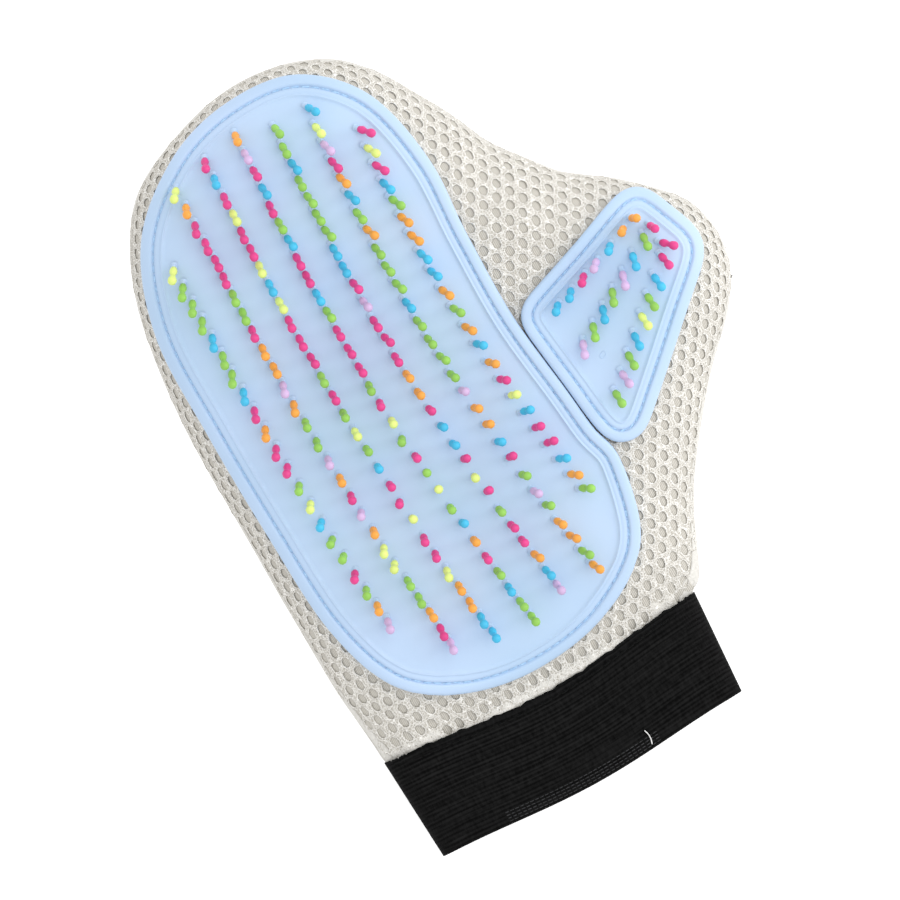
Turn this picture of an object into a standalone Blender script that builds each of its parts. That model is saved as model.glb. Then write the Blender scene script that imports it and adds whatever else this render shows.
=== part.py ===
"""Pet grooming mitt: a spacer-mesh mitten with two moulded rubber pads of pins and an elastic cuff.

The mitt lies on its back. The origin is on the floor under the middle of the mitt, +Y points to the
fingertips, +X to the thumb and +Z out of the palm. All sizes below are in millimetres.
"""
import math

import bmesh
import bpy
import numpy as np
from mathutils import Vector
from mathutils.geometry import delaunay_2d_cdt

MM = 0.001

# The mitten.
MITT_LENGTH = 244.0
MITT_WIDTH = 174.6
MESH_THICKNESS = 3.0
PRESSED_MESH = 1.5
SEAM_HEIGHT = 11.0
TIP_SEAM_HEIGHT = 17.0
HEEL_HEIGHT = 25.0
PALM_HEIGHT = 31.0
FINGER_HEIGHT = 37.0
PALM_SHOULDER = 25.0
BACK_SHOULDER = 20.0

# The cuff.
CUFF_LENGTH = 34.0
CUFF_THICKNESS = 1.5
CUFF_HEIGHT = 16.0
MOUTH_HEIGHT = 11.0
CUFF_WIDTH = 110.0
MOUTH_WIDTH = 106.0
CUFF_OVERLAP = 6.0
CUFF_EDGE_DIP = 4.5
CUFF_HEM_BOW = 3.0
WRIST_TUCK = 9.0

# The moulded pads.
FIELD_THICKNESS = 2.0
RIM_WIDTH = 3.5
RIM_HEIGHT = 3.4
GROOVE_WIDTH = 2.1
GROOVE_FLOOR = 1.6
RIDGE_WIDTH = 0.8
RIDGE_HEIGHT = 2.7
PAD_CORNER = 1.1
PADS_APART = 0.7

# The pins. Each has a bead, a neck and a ball end.
PIN_PITCH = 6.15
PITCH_SPREAD = 0.10
COLUMN_SPACING = 11.19
COLUMN_SHIFT = -4.1
PALM_PIN_SET = 0.85
HEEL_PIN_SET = 0.33
PIN_SPLAY = 0.22
PIN_ROOT_RADIUS = 1.15
BEAD_RADIUS = 1.05
BEAD_AT = 2.9
NECK_RADIUS = 0.75
NECK_AT = 4.9
BALL_RADIUS = 1.35
BALL_AT = 7.3
PIN_HEIGHT = 8.6
PIN_SIDES = 5
PIN_CLEARANCE = 0.3

# The threads.
THREAD_RADIUS = 0.35
SEAM_THREAD_RADIUS = 0.5
HEM_ROWS = 4
HEM_ROW_PITCH = 1.5

GAP = 0.3

HALF_LENGTH = MITT_LENGTH / 2
HALF_WIDTH = MITT_WIDTH / 2
CUFF_TOP_Y = -HALF_LENGTH + CUFF_HEM_BOW + CUFF_LENGTH
BODY_END_Y = CUFF_TOP_Y - CUFF_OVERLAP
FREE_FROM_Y = CUFF_TOP_Y + 1.0
CUFF_CENTRE = -0.325 * HALF_WIDTH

# Outlines run anticlockwise, in shares of the mitt's half width and half length, as sizes are graded.
MITT_OUTLINE = [(0.362, -0.655), (0.49, -0.465), (0.70, -0.255),
                (0.905, -0.105), (1.0, 0.035), (0.97, 0.175), (0.80, 0.31), (0.60, 0.42),
                (0.475, 0.53), (0.375, 0.655), (0.25, 0.82), (0.085, 0.945), (-0.195, 1.0),
                (-0.51, 0.962), (-0.775, 0.855), (-0.935, 0.635), (-1.0, 0.31), (-1.0, 0.0),
                (-0.99, -0.41), (-0.965, -0.64)]
PALM_PAD_OUTLINE = [(-0.32, -0.661), (-0.031, -0.628), (0.212, -0.516), (0.299, -0.311),
                    (0.272, -0.2), (0.26, -0.085), (0.213, 0.14), (0.211, 0.37), (0.215, 0.586),
                    (0.134, 0.803), (-0.056, 0.93), (-0.319, 0.948), (-0.571, 0.89),
                    (-0.793, 0.752), (-0.906, 0.53), (-0.917, 0.25), (-0.906, -0.04),
                    (-0.88, -0.331), (-0.781, -0.53), (-0.578, -0.627)]

# The thumb pad's four corners, with their radii.
THUMB_PAD_CORNERS = [(0.93, 0.075, 9.0), (0.82, 0.31, 9.0), (0.221, 0.15, 8.0),
                     (0.313, -0.37, 8.0)]

# Where each column of pins starts and ends, in shares of the half length. Their apex is where the
# columns bow furthest towards the little finger.
PALM_COLUMN_ENDS = [(0.665, -0.366), (0.830, -0.486), (0.861, -0.513), (0.881, -0.528),
                    (0.852, -0.489), (0.853, -0.491), (0.746, -0.316)]
COLUMN_APEX = 0.426
FIRST_COLUMN_BOW = 4.5e-4
BOW_STEP = 0.88e-4

# The palm's pins splay from a line along the mitt, given with their reach as shares of half its width.
SPLAY_FROM = -0.424
SPLAY_REACH = 0.458

# The thumb's three columns: first and last pin in shares of the half width and length, the count,
# and how far the pins have set towards the thumb's tip and towards the fingers.
THUMB_COLUMNS = [((0.702, 0.199), (0.378, 0.118), 6, (-0.42, -0.37)),
                 ((0.747, 0.167), (0.390, 0.009), 7, (-0.40, -1.12)),
                 ((0.766, 0.103), (0.397, -0.141), 8, (0.04, -1.12))]

# A last pin at the tip end of each column stands close to the next one and leans out over the tip.
THUMB_TIP_PINS = [((0.733, 0.210), (-0.05, -0.35)), ((0.779, 0.175), (-0.05, -0.60)),
                  ((0.781, 0.127), (0.50, -0.90))]


def clear_scene():
    for thing in list(bpy.data.objects):
        bpy.data.objects.remove(thing, do_unlink=True)


def graded(shares):
    """Points of an outline in millimetres, from shares of half the width and length."""
    return np.array([(x * HALF_WIDTH, y * HALF_LENGTH) for x, y in shares])


def resampled(curve, count, closed):
    """The curve with a given number of evenly spaced points."""
    line = np.vstack([curve, curve[:1]]) if closed else curve
    run = np.concatenate([[0.0], np.cumsum(np.linalg.norm(np.diff(line, axis=0), axis=1))])
    at = np.linspace(0.0, run[-1], count + 1 if closed else count)
    even = np.column_stack([np.interp(at, run, line[:, k]) for k in range(2)])
    return even[:-1] if closed else even


def smooth_curve(points, count, closed):
    """A Catmull-Rom curve through the points, evenly resampled."""
    if closed:
        control = np.vstack([points[-1:], points, points[:2]])
    else:
        control = np.vstack([2 * points[0] - points[1], points, 2 * points[-1] - points[-2]])
    t = np.linspace(0.0, 1.0, 16, endpoint=False)[:, None]
    pieces = []
    for a, b, c, d in zip(control, control[1:], control[2:], control[3:]):
        pieces.append(0.5 * (2 * b + (c - a) * t + (2 * a - 5 * b + 4 * c - d) * t ** 2
                             + (3 * b - a - 3 * c + d) * t ** 3))
    if not closed:
        pieces.append(control[-2:-1])
    return resampled(np.vstack(pieces), count, closed)


def rounded_polygon(corners, count):
    """A closed polygon with a round arc of its own radius at each corner."""
    points = []
    for k, (x, y, radius) in enumerate(corners):
        corner = np.array([x, y])
        before = np.array(corners[k - 1][:2]) - corner
        after = np.array(corners[(k + 1) % len(corners)][:2]) - corner
        before /= np.linalg.norm(before)
        after /= np.linalg.norm(after)
        half = 0.5 * math.acos(float(before @ after))
        centre = corner + (before + after) / np.linalg.norm(before + after) * radius / math.sin(half)
        start = corner + before * radius / math.tan(half) - centre
        sweep = math.pi - 2 * half
        for turn in np.linspace(0.0, sweep, 9):
            c, s = math.cos(turn), math.sin(turn)
            points.append(centre + (start[0] * c - start[1] * s, start[0] * s + start[1] * c))
    return resampled(np.array(points), count, True)


def inset(curve, distance, closed):
    """The curve moved to its left, which is inwards on an anticlockwise outline."""
    if closed:
        along = np.roll(curve, -1, axis=0) - np.roll(curve, 1, axis=0)
    else:
        along = np.gradient(curve, axis=0)
    along /= np.linalg.norm(along, axis=1)[:, None]
    return curve + np.column_stack([-along[:, 1], along[:, 0]]) * distance


def distance_to(curve, points):
    """Distance from each point to a polyline."""
    start, step = curve[:-1], np.diff(curve, axis=0)
    offset = points[:, None, :] - start[None]
    share = np.clip((offset * step).sum(2) / (step ** 2).sum(1), 0.0, 1.0)
    return np.linalg.norm(offset - share[..., None] * step, axis=2).min(1)


def is_inside(loop, points):
    """Which points lie inside a closed loop."""
    x, y = points[:, 0, None], points[:, 1, None]
    x1, y1 = loop[:, 0], loop[:, 1]
    x2, y2 = np.roll(x1, -1), np.roll(y1, -1)
    crosses = (y1 > y) != (y2 > y)
    rise = np.where(y2 == y1, 1.0, y2 - y1)
    return (crosses & (x < x1 + (y - y1) / rise * (x2 - x1))).sum(1) % 2 == 1


def smoothstep(low, high, value):
    t = np.clip((value - low) / (high - low), 0.0, 1.0)
    return t * t * (3 - 2 * t)


def side_line():
    """The mitten's outline from wrist to wrist, drawn in at both ends to pass inside the cuff."""
    half = CUFF_WIDTH / 2 - CUFF_THICKNESS - 2 * GAP
    levels = [-HALF_LENGTH, BODY_END_Y, FREE_FROM_Y]
    right = [(CUFF_CENTRE + half, y) for y in levels]
    left = [(CUFF_CENTRE - half, y) for y in reversed(levels)]
    return smooth_curve(np.vstack([right, graded(MITT_OUTLINE), left]), 400, False)


SIDE_LINE = side_line()


def seam_height(y):
    """Height of the seam between the two panels, which rises to the fingertips."""
    wrist = CUFF_HEIGHT / 2
    at_palm = wrist + (SEAM_HEIGHT - wrist) * smoothstep(BODY_END_Y, -0.3 * HALF_LENGTH, y)
    return at_palm + (TIP_SEAM_HEIGHT - SEAM_HEIGHT) * smoothstep(0.0, HALF_LENGTH, y)


def crown_height(y):
    """Height of the palm side along the middle of the mitt."""
    wrist = CUFF_HEIGHT - CUFF_THICKNESS - GAP
    taper = (CUFF_HEIGHT - MOUTH_HEIGHT) * CUFF_OVERLAP / CUFF_LENGTH
    stations = [BODY_END_Y, FREE_FROM_Y, -0.55 * HALF_LENGTH, -0.2 * HALF_LENGTH, 0.1 * HALF_LENGTH,
                0.66 * HALF_LENGTH, HALF_LENGTH]
    heights = [wrist - taper, wrist, HEEL_HEIGHT, PALM_HEIGHT, PALM_HEIGHT + 0.8, FINGER_HEIGHT,
               FINGER_HEIGHT]
    reach = np.clip((y - FREE_FROM_Y) / 2, 0.0, 14.0)
    steps = [np.interp(y + k * reach, stations, heights) for k in (-1.0, -0.5, 0.0, 0.5, 1.0)]
    return sum(steps) / len(steps)


def shoulder(distance, reach):
    """Rise of a round shoulder: 0 at the seam, 1 from the reach inwards."""
    out = 1.0 - np.clip(distance / reach, 0.0, 1.0)
    return np.sqrt(1.0 - out ** 2)


def mesh_thickness(y):
    """The mesh is pressed thin where the cuff is sewn over it."""
    swell = smoothstep(FREE_FROM_Y, FREE_FROM_Y + WRIST_TUCK, y)
    return PRESSED_MESH + (MESH_THICKNESS - PRESSED_MESH) * swell


def palm_height(points, depth=0.0):
    """Height of the palm panel, at its outer face or a share of its thickness below it."""
    y = points[:, 1]
    below = depth * mesh_thickness(y)
    seam = seam_height(y)
    rise = crown_height(y) - below - seam
    away = distance_to(SIDE_LINE, points) - depth * MESH_THICKNESS
    return seam + rise * shoulder(away, PALM_SHOULDER - depth * MESH_THICKNESS)


def back_height(points, depth=0.0):
    """Height of the back panel, which lies flat on the floor inside its shoulder."""
    y = points[:, 1]
    tucked = (CUFF_THICKNESS + GAP) * (1.0 - smoothstep(FREE_FROM_Y, FREE_FROM_Y + WRIST_TUCK, y))
    floor = tucked + depth * mesh_thickness(y)
    seam = seam_height(y)
    away = distance_to(SIDE_LINE, points) - depth * MESH_THICKNESS
    return seam - (seam - floor) * shoulder(away, BACK_SHOULDER - depth * MESH_THICKNESS)


def palm_points(points, height):
    """Points at a height above the palm panel, measured square to it, and its normals there."""
    step = 0.25
    across = palm_height(points + (step, 0)) - palm_height(points - (step, 0))
    along = palm_height(points + (0, step)) - palm_height(points - (0, step))
    normal = np.column_stack([-across, -along, np.full(len(points), 2 * step)])
    normal /= np.linalg.norm(normal, axis=1)[:, None]
    base = np.column_stack([points, palm_height(points)])
    return base + normal * np.reshape(height, (-1, 1)), normal


def lattice(loop, spacing, keep_off):
    """Points of a triangular lattice inside a loop, away from its edge and from other points."""
    low, high = loop.min(0), loop.max(0)
    rows = np.arange(low[1], high[1], spacing * math.sqrt(3) / 2)
    grid = [(x + (k % 2) * spacing / 2, y) for k, y in enumerate(rows)
            for x in np.arange(low[0], high[0], spacing)]
    grid = np.array(grid)
    grid = grid[is_inside(loop, grid)]
    for curve, clear in keep_off:
        grid = grid[distance_to(curve, grid) > clear]
    return grid


def triangulate(outline, lines, loose, nets=()):
    """Triangles over a flat outline, with edges along the lines and nets given, and loose points."""
    points = list(map(tuple, outline))
    edges = []
    for line, closed in lines:
        first = len(points)
        points.extend(map(tuple, line))
        last = len(points) - 1
        edges.extend((k, k + 1) for k in range(first, last))
        if closed:
            edges.append((last, first))
    for net_points, net_faces in nets:
        first = len(points)
        points.extend(map(tuple, net_points))
        sides = {tuple(sorted((f[k - 1], f[k]))) for f in net_faces for k in range(3)}
        edges.extend((first + a, first + b) for a, b in sorted(sides))
    points.extend(map(tuple, loose))
    result = delaunay_2d_cdt([Vector(p) for p in points], edges, [list(range(len(outline)))], 1, 1e-5)
    found = np.array([tuple(v) for v in result[0]])
    place = {}
    for new, old in enumerate(result[3]):
        for k in old:
            place[k] = new
    loop = [place[k] for k in range(len(outline))]
    return found, [tuple(face) for face in result[2]], loop, place


def closed_body(upper, lower):
    """A bmesh of two sheets whose edge loops match point for point, joined by a wall."""
    bm = bmesh.new()
    loops = []
    for (points, faces, loop), turned in ((upper, False), (lower, True)):
        verts = [bm.verts.new(Vector(p) * MM) for p in points]
        for face in faces:
            bm.faces.new([verts[k] for k in (reversed(face) if turned else face)])
        loops.append([verts[k] for k in loop])
    top, bottom = loops
    for k in range(len(top)):
        j = (k + 1) % len(top)
        bm.faces.new((bottom[k], bottom[j], top[j], top[k]))
    return bm


def finished(bm, name, colour, roughness):
    """A named object from a bmesh, shaded smooth, with its own plain material."""
    bmesh.ops.recalc_face_normals(bm, faces=bm.faces)
    mesh = bpy.data.meshes.new(name)
    bm.to_mesh(mesh)
    bm.free()
    mesh.shade_smooth()
    mesh.set_sharp_from_angle(angle=math.radians(50))
    material = bpy.data.materials.new(name)
    material.use_nodes = True
    shader = material.node_tree.nodes["Principled BSDF"]
    shader.inputs["Base Color"].default_value = (*colour, 1.0)
    shader.inputs["Roughness"].default_value = roughness
    mesh.materials.append(material)
    body = bpy.data.objects.new(name, mesh)
    bpy.context.collection.objects.link(body)
    return body


# --- the two mesh panels -------------------------------------------------------------------------

PANEL_STEPS = (1.2, 4.0, 9.5)
PANEL_EDGE_COUNT = 56
PANEL_LATTICE = 17.0


def panel_sheet(edge_inset, nets=()):
    """A panel's flat triangles: the outline, cut square at the wrist, with rings inside its edge.

    Under a pad the panel takes over the triangles of the pad's own underside, so the two seat."""
    rings = []
    free = np.flatnonzero(SIDE_LINE[:, 1] > FREE_FROM_Y)
    picked = np.linspace(free[0], free[-1], PANEL_EDGE_COUNT - 2)
    for step in (0.0,) + PANEL_STEPS:
        ring = inset(SIDE_LINE, edge_inset + step, False)
        level = [np.interp(picked, np.arange(len(ring)), ring[:, k]) for k in range(2)]
        ends = ring[[0, -1], 0]
        rings.append(np.vstack([(ends[0], BODY_END_Y), np.column_stack(level), (ends[1], BODY_END_Y)]))
    middle = np.linspace(rings[-1][-1, 0], rings[-1][0, 0], 8)[1:-1]
    left = [ring[-1, 0] for ring in rings[1:]]
    right = [ring[0, 0] for ring in reversed(rings[1:])]
    wrist = np.array([(x, BODY_END_Y) for x in (*left, *middle, *right)])
    outline = np.vstack([rings[0], wrist])
    innermost = np.vstack([rings[-1], wrist[len(left):-len(right)]])
    keep_off = [(rings[-1], 0.55 * PANEL_LATTICE), (wrist, CUFF_OVERLAP + 0.5 * PANEL_LATTICE)]
    tucked = [(x, FREE_FROM_Y) for x in middle]
    loose = np.vstack([lattice(innermost, PANEL_LATTICE, keep_off), tucked, *rings[1:]])
    for points, _, loop in nets:
        edge = points[loop + loop[:1]]
        loose = loose[~is_inside(edge, loose) & (distance_to(edge, loose) > 1.5)]
    points, faces, loop, _ = triangulate(outline, [], loose, [net[:2] for net in nets])
    return points, faces, loop


def mesh_panel(name, height, outward_up, nets, colour):
    """One spacer-mesh panel: its outer and inner faces, closed along the seam and the wrist."""
    sheets = []
    for depth in (0.0, 1.0):
        points, faces, loop = panel_sheet(depth * MESH_THICKNESS, () if depth else nets)
        z = height(points, depth)
        on_seam = np.array(loop[:PANEL_EDGE_COUNT])
        side = 1.0 if outward_up else -1.0
        z[on_seam] = seam_height(points[on_seam, 1]) + side * GAP / 2
        sheets.append((np.column_stack([points, z]), faces, loop))
    outer, inner = sheets
    upper, lower = (outer, inner) if outward_up else (inner, outer)
    return finished(closed_body(upper, lower), name, colour, 0.85)


# --- the moulded pads ----------------------------------------------------------------------------

PAD_LATTICE = 15.0


def pad_section():
    """The pad's top from its edge inwards: distance in, and height above the pad's underside."""
    groove = RIM_WIDTH
    ridge = groove + GROOVE_WIDTH
    field = ridge + RIDGE_WIDTH
    return [(0.0, RIM_HEIGHT - PAD_CORNER), (0.4 * PAD_CORNER, RIM_HEIGHT - 0.35 * PAD_CORNER),
            (0.38 * RIM_WIDTH, RIM_HEIGHT), (groove - 0.7, RIM_HEIGHT - 0.5), (groove, GROOVE_FLOOR),
            (ridge, GROOVE_FLOOR), (ridge + 0.3, RIDGE_HEIGHT), (field, FIELD_THICKNESS)]


def palm_pin_set(x, y):
    """How far the soft palm pins have set from the pad's normal: outwards, and towards the cuff."""
    to_fingers = smoothstep(-0.25 * HALF_LENGTH, 0.55 * HALF_LENGTH, y)
    to_heel = 1.0 - smoothstep(-0.5 * HALF_LENGTH, -0.12 * HALF_LENGTH, y)
    out = (x / HALF_WIDTH - SPLAY_FROM) / SPLAY_REACH
    return PIN_SPLAY * (out + out ** 3), -PALM_PIN_SET * to_fingers - HEEL_PIN_SET * to_heel


def thumb_pad_outline(palm_outline):
    """A rounded four-sided pad whose inner side is trimmed to run along the palm pad's edge."""
    outline = rounded_polygon([(x * HALF_WIDTH, y * HALF_LENGTH, r) for x, y, r in THUMB_PAD_CORNERS], 40)
    right = palm_outline[palm_outline[:, 0] > palm_outline[:, 0].mean()]
    right = right[np.argsort(right[:, 1])]
    beside = np.interp(outline[:, 1], right[:, 1], right[:, 0]) + PADS_APART
    return np.column_stack([np.maximum(outline[:, 0], beside), outline[:, 1]])


def pad_underside(outline):
    """The flat triangles of a pad's underside."""
    loose = lattice(outline, PAD_LATTICE, [(np.vstack([outline, outline[:1]]), 0.47 * PAD_LATTICE)])
    return triangulate(outline, [], loose)[:3]


def pad(name, outline, underside, pins, colour):
    """A moulded pad that follows the palm, with its rim, stitch groove, ridge, field and pins.

    Each pin is given by its root and by how far it has set across and along the mitt."""
    section = pad_section()
    rings = [inset(outline, step, True) for step, _ in section]
    field = rings[-1]
    closed_field = np.vstack([field, field[:1]])
    roots = np.array([root for root, _ in pins])
    fits = is_inside(field, roots) & (distance_to(closed_field, roots) > PIN_ROOT_RADIUS + PIN_CLEARANCE)
    roots = roots[fits]
    sets = np.array([lean for _, lean in pins])[fits]
    turns = [2 * math.pi * k / PIN_SIDES for k in range(PIN_SIDES)]
    circle = np.array([(math.cos(a), math.sin(a)) for a in turns]) * PIN_ROOT_RADIUS
    root_loops = [root + circle for root in roots]
    loose = lattice(field, PAD_LATTICE, [(closed_field, 0.4 * PAD_LATTICE)])
    away = np.linalg.norm(loose[:, None] - roots[None], axis=2).min(1)
    loose = loose[away > 2.8 * PIN_ROOT_RADIUS]
    lines = [(ring, True) for ring in rings[1:]] + [(loop, True) for loop in root_loops]
    flat, faces, loop, place = triangulate(outline, lines, loose)
    height = np.full(len(flat), FIELD_THICKNESS)
    for k, (_, level) in enumerate(section):
        height[[place[k * len(outline) + j] for j in range(len(outline))]] = level
    top, _ = palm_points(flat, GAP + height)
    centres = flat[np.array(faces)].mean(1)
    apothem = 0.78 * PIN_ROOT_RADIUS
    open_faces = np.linalg.norm(centres[:, None] - roots[None], axis=2).min(1) > apothem
    faces = [face for face, keep in zip(faces, open_faces) if keep]
    under, under_faces, under_loop = underside
    bottom, _ = palm_points(under, np.full(len(under), GAP))
    bm = closed_body((top, faces, loop), (bottom, under_faces, under_loop))
    verts = list(bm.verts)
    first = len(section) * len(outline)
    feet, normals = palm_points(roots, np.full(len(roots), GAP + FIELD_THICKNESS))
    for k, (foot, normal, lean) in enumerate(zip(feet, normals, sets)):
        ring = [verts[place[first + k * PIN_SIDES + j]] for j in range(PIN_SIDES)]
        direction = (Vector(normal) + Vector((*lean, 0.0))).normalized()
        add_pin(bm, ring, Vector(foot), direction)
    return finished(bm, name, colour, 0.45)


def add_pin(bm, root_ring, foot, direction):
    """A pin with a bead, a neck and a ball end, grown from its ring of points in the field."""
    start = (root_ring[0].co / MM - foot)
    side = (start - start.project(direction)).normalized()
    other = direction.cross(side)
    below = root_ring
    for radius, at in ((BEAD_RADIUS, BEAD_AT), (NECK_RADIUS, NECK_AT), (BALL_RADIUS, BALL_AT)):
        ring = []
        for k in range(PIN_SIDES):
            turn = 2 * math.pi * k / PIN_SIDES
            spoke = side * math.cos(turn) + other * math.sin(turn)
            ring.append(bm.verts.new((foot + direction * at + spoke * radius) * MM))
        for k in range(PIN_SIDES):
            j = (k + 1) % PIN_SIDES
            bm.faces.new((below[k], below[j], ring[j], ring[k]))
        below = ring
    tip = bm.verts.new((foot + direction * PIN_HEIGHT) * MM)
    for k in range(PIN_SIDES):
        bm.faces.new((below[k], below[(k + 1) % PIN_SIDES], tip))


def palm_pins(outline):
    """The palm's bowed columns of pins, each set towards the cuff."""
    middle = (outline[:, 0].min() + outline[:, 0].max()) / 2 + COLUMN_SHIFT
    pins = []
    for column, (start, end) in enumerate(PALM_COLUMN_ENDS):
        x = middle + (column - (len(PALM_COLUMN_ENDS) - 1) / 2) * COLUMN_SPACING
        bow = FIRST_COLUMN_BOW + BOW_STEP * column
        length = (start - end) * HALF_LENGTH
        count = round(length / PIN_PITCH) + 1
        for k in range(count):
            share = k / (count - 1)
            share -= PITCH_SPREAD * math.sin(2 * math.pi * share) / (2 * math.pi)
            y = start * HALF_LENGTH - length * share
            root = (x + bow * (y - COLUMN_APEX * HALF_LENGTH) ** 2, y)
            pins.append((root, palm_pin_set(*root)))
    return pins


def thumb_pins():
    """Three columns that fan out from the thumb's tip."""
    pins = []
    for (tip, tip_lean), (start, end, count, lean) in zip(THUMB_TIP_PINS, THUMB_COLUMNS):
        first, last, at_tip = graded([start, end, tip])
        pins.append((at_tip, tip_lean))
        pins.extend((first + (last - first) * k / (count - 1), lean) for k in range(count))
    return pins


# --- the elastic cuff ----------------------------------------------------------------------------

CUFF_SIDES = 40
CUFF_ROWS = 5


def cuff_section(share, depth):
    """The cuff's flattened oval at a share of its length from its top, as points x and z."""
    width = CUFF_WIDTH + (MOUTH_WIDTH - CUFF_WIDTH) * share - 2 * depth
    height = CUFF_HEIGHT + (MOUTH_HEIGHT - CUFF_HEIGHT) * share - 2 * depth
    radius = height / 2
    straight = width - 2 * radius
    x0 = CUFF_CENTRE
    quarter = CUFF_SIDES // 4
    points = []
    for k in range(quarter):
        points.append((x0 + straight / 2 - straight * k / quarter, 2 * radius))
    for k in range(quarter):
        turn = math.pi * k / quarter
        points.append((x0 - straight / 2 - radius * math.sin(turn), radius + radius * math.cos(turn)))
    for k in range(quarter):
        points.append((x0 - straight / 2 + straight * k / quarter, 0.0))
    for k in range(quarter):
        turn = math.pi * k / quarter
        points.append((x0 + straight / 2 + radius * math.sin(turn), radius - radius * math.cos(turn)))
    return [(x, z + depth) for x, z in points]


def cuff_y(share, x):
    """The cuff's top edge dips and its hem bows out towards the middle of its width."""
    across = min(abs(x - CUFF_CENTRE) / (CUFF_WIDTH / 2), 1.0)
    hump = math.cos(across * math.pi / 2) ** 2
    top = CUFF_TOP_Y - CUFF_EDGE_DIP * hump
    hem = -HALF_LENGTH + CUFF_HEM_BOW * (1.0 - hump)
    return top + (hem - top) * share


def elastic_cuff():
    """A flattened tube of wide elastic, open at both ends."""
    bm = bmesh.new()
    faces = []
    for depth in (0.0, CUFF_THICKNESS):
        rows = []
        for row in range(CUFF_ROWS):
            share = row / (CUFF_ROWS - 1)
            rows.append([bm.verts.new((x * MM, cuff_y(share, x) * MM, z * MM))
                         for x, z in cuff_section(share, depth)])
        faces.append(rows)
        for upper, lower in zip(rows, rows[1:]):
            for k in range(CUFF_SIDES):
                j = (k + 1) % CUFF_SIDES
                bm.faces.new((upper[k], upper[j], lower[j], lower[k]))
    outer, inner = faces
    for row in (0, -1):
        for k in range(CUFF_SIDES):
            j = (k + 1) % CUFF_SIDES
            bm.faces.new((outer[row][k], outer[row][j], inner[row][j], inner[row][k]))
    return finished(bm, "elastic_cuff", (0.012, 0.012, 0.013), 0.7)


# --- the threads ---------------------------------------------------------------------------------

def thread(name, path, radius, closed, colour):
    """A thread as a square-sided tube along a path."""
    bm = bmesh.new()
    count = len(path)
    rings = []
    for k in range(count):
        before = path[(k - 1) % count] if closed or k else path[k]
        after = path[(k + 1) % count] if closed or k < count - 1 else path[k]
        along = Vector(after - before).normalized()
        side = along.cross(Vector((0, 0, 1))).normalized()
        up = side.cross(along)
        centre = Vector(path[k])
        corners = (side, up, -side, -up)
        rings.append([bm.verts.new((centre + c * radius) * MM) for c in corners])
    spans = count if closed else count - 1
    for k in range(spans):
        a, b = rings[k], rings[(k + 1) % count]
        for j in range(4):
            i = (j + 1) % 4
            bm.faces.new((a[j], a[i], b[i], b[j]))
    if not closed:
        bm.faces.new(rings[0])
        bm.faces.new(rings[-1])
    return finished(bm, name, colour, 0.8)


def pad_thread(name, outline):
    """The lockstitch that lies in a pad's groove."""
    line = inset(outline, RIM_WIDTH + GROOVE_WIDTH / 2, True)
    path, _ = palm_points(line, np.full(len(line), 2 * GAP + GROOVE_FLOOR + THREAD_RADIUS))
    return thread(name, path, THREAD_RADIUS, True, (0.30, 0.55, 0.75))


def perimeter_seam_thread():
    """The overlock inside the mitt, where the two panels' edges are turned in."""
    line = inset(SIDE_LINE, MESH_THICKNESS + GAP + 1.6 * SEAM_THREAD_RADIUS, False)
    line = resampled(line[line[:, 1] > CUFF_TOP_Y + 8.0], 52, False)
    path = np.column_stack([line, seam_height(line[:, 1])])
    return thread("perimeter_seam_thread", path, SEAM_THREAD_RADIUS, False, (0.75, 0.72, 0.66))


def cuff_thread(name, share, reach, colour):
    """A row of stitches across the palm side of the cuff, over a share of its flat width."""
    width = (CUFF_WIDTH - CUFF_HEIGHT) * reach
    path = []
    for x in np.linspace(CUFF_CENTRE - width / 2, CUFF_CENTRE + width / 2, 15):
        top = CUFF_HEIGHT + (MOUTH_HEIGHT - CUFF_HEIGHT) * share
        path.append((x, cuff_y(share, x), top + GAP + THREAD_RADIUS))
    return thread(name, np.array(path), THREAD_RADIUS, False, colour)


def main():
    clear_scene()
    palm_outline = smooth_curve(graded(PALM_PAD_OUTLINE), 56, True)
    thumb_outline = thumb_pad_outline(palm_outline)
    mesh_colour = (0.74, 0.70, 0.62)
    pad_colour = (0.50, 0.72, 0.93)
    undersides = [pad_underside(palm_outline), pad_underside(thumb_outline)]
    mesh_panel("palm_mesh_panel", palm_height, True, undersides, mesh_colour)
    mesh_panel("back_mesh_panel", back_height, False, (), mesh_colour)
    pad("palm_pad", palm_outline, undersides[0], palm_pins(palm_outline), pad_colour)
    pad("thumb_pad", thumb_outline, undersides[1], thumb_pins(), pad_colour)
    elastic_cuff()
    pad_thread("palm_pad_thread", palm_outline)
    pad_thread("thumb_pad_thread", thumb_outline)
    perimeter_seam_thread()
    cuff_thread("cuff_seam_thread", 3.0 / CUFF_LENGTH, 0.96, (0.015, 0.015, 0.016))
    for row in range(HEM_ROWS):
        share = 1.0 - (1.0 + row * HEM_ROW_PITCH) / CUFF_LENGTH
        cuff_thread(f"cuff_hem_thread_{row + 1}", share, 0.55, (0.35, 0.35, 0.36))


main()
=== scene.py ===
import math

import bmesh
import bpy
import numpy as np
from mathutils import Matrix, Vector


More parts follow.
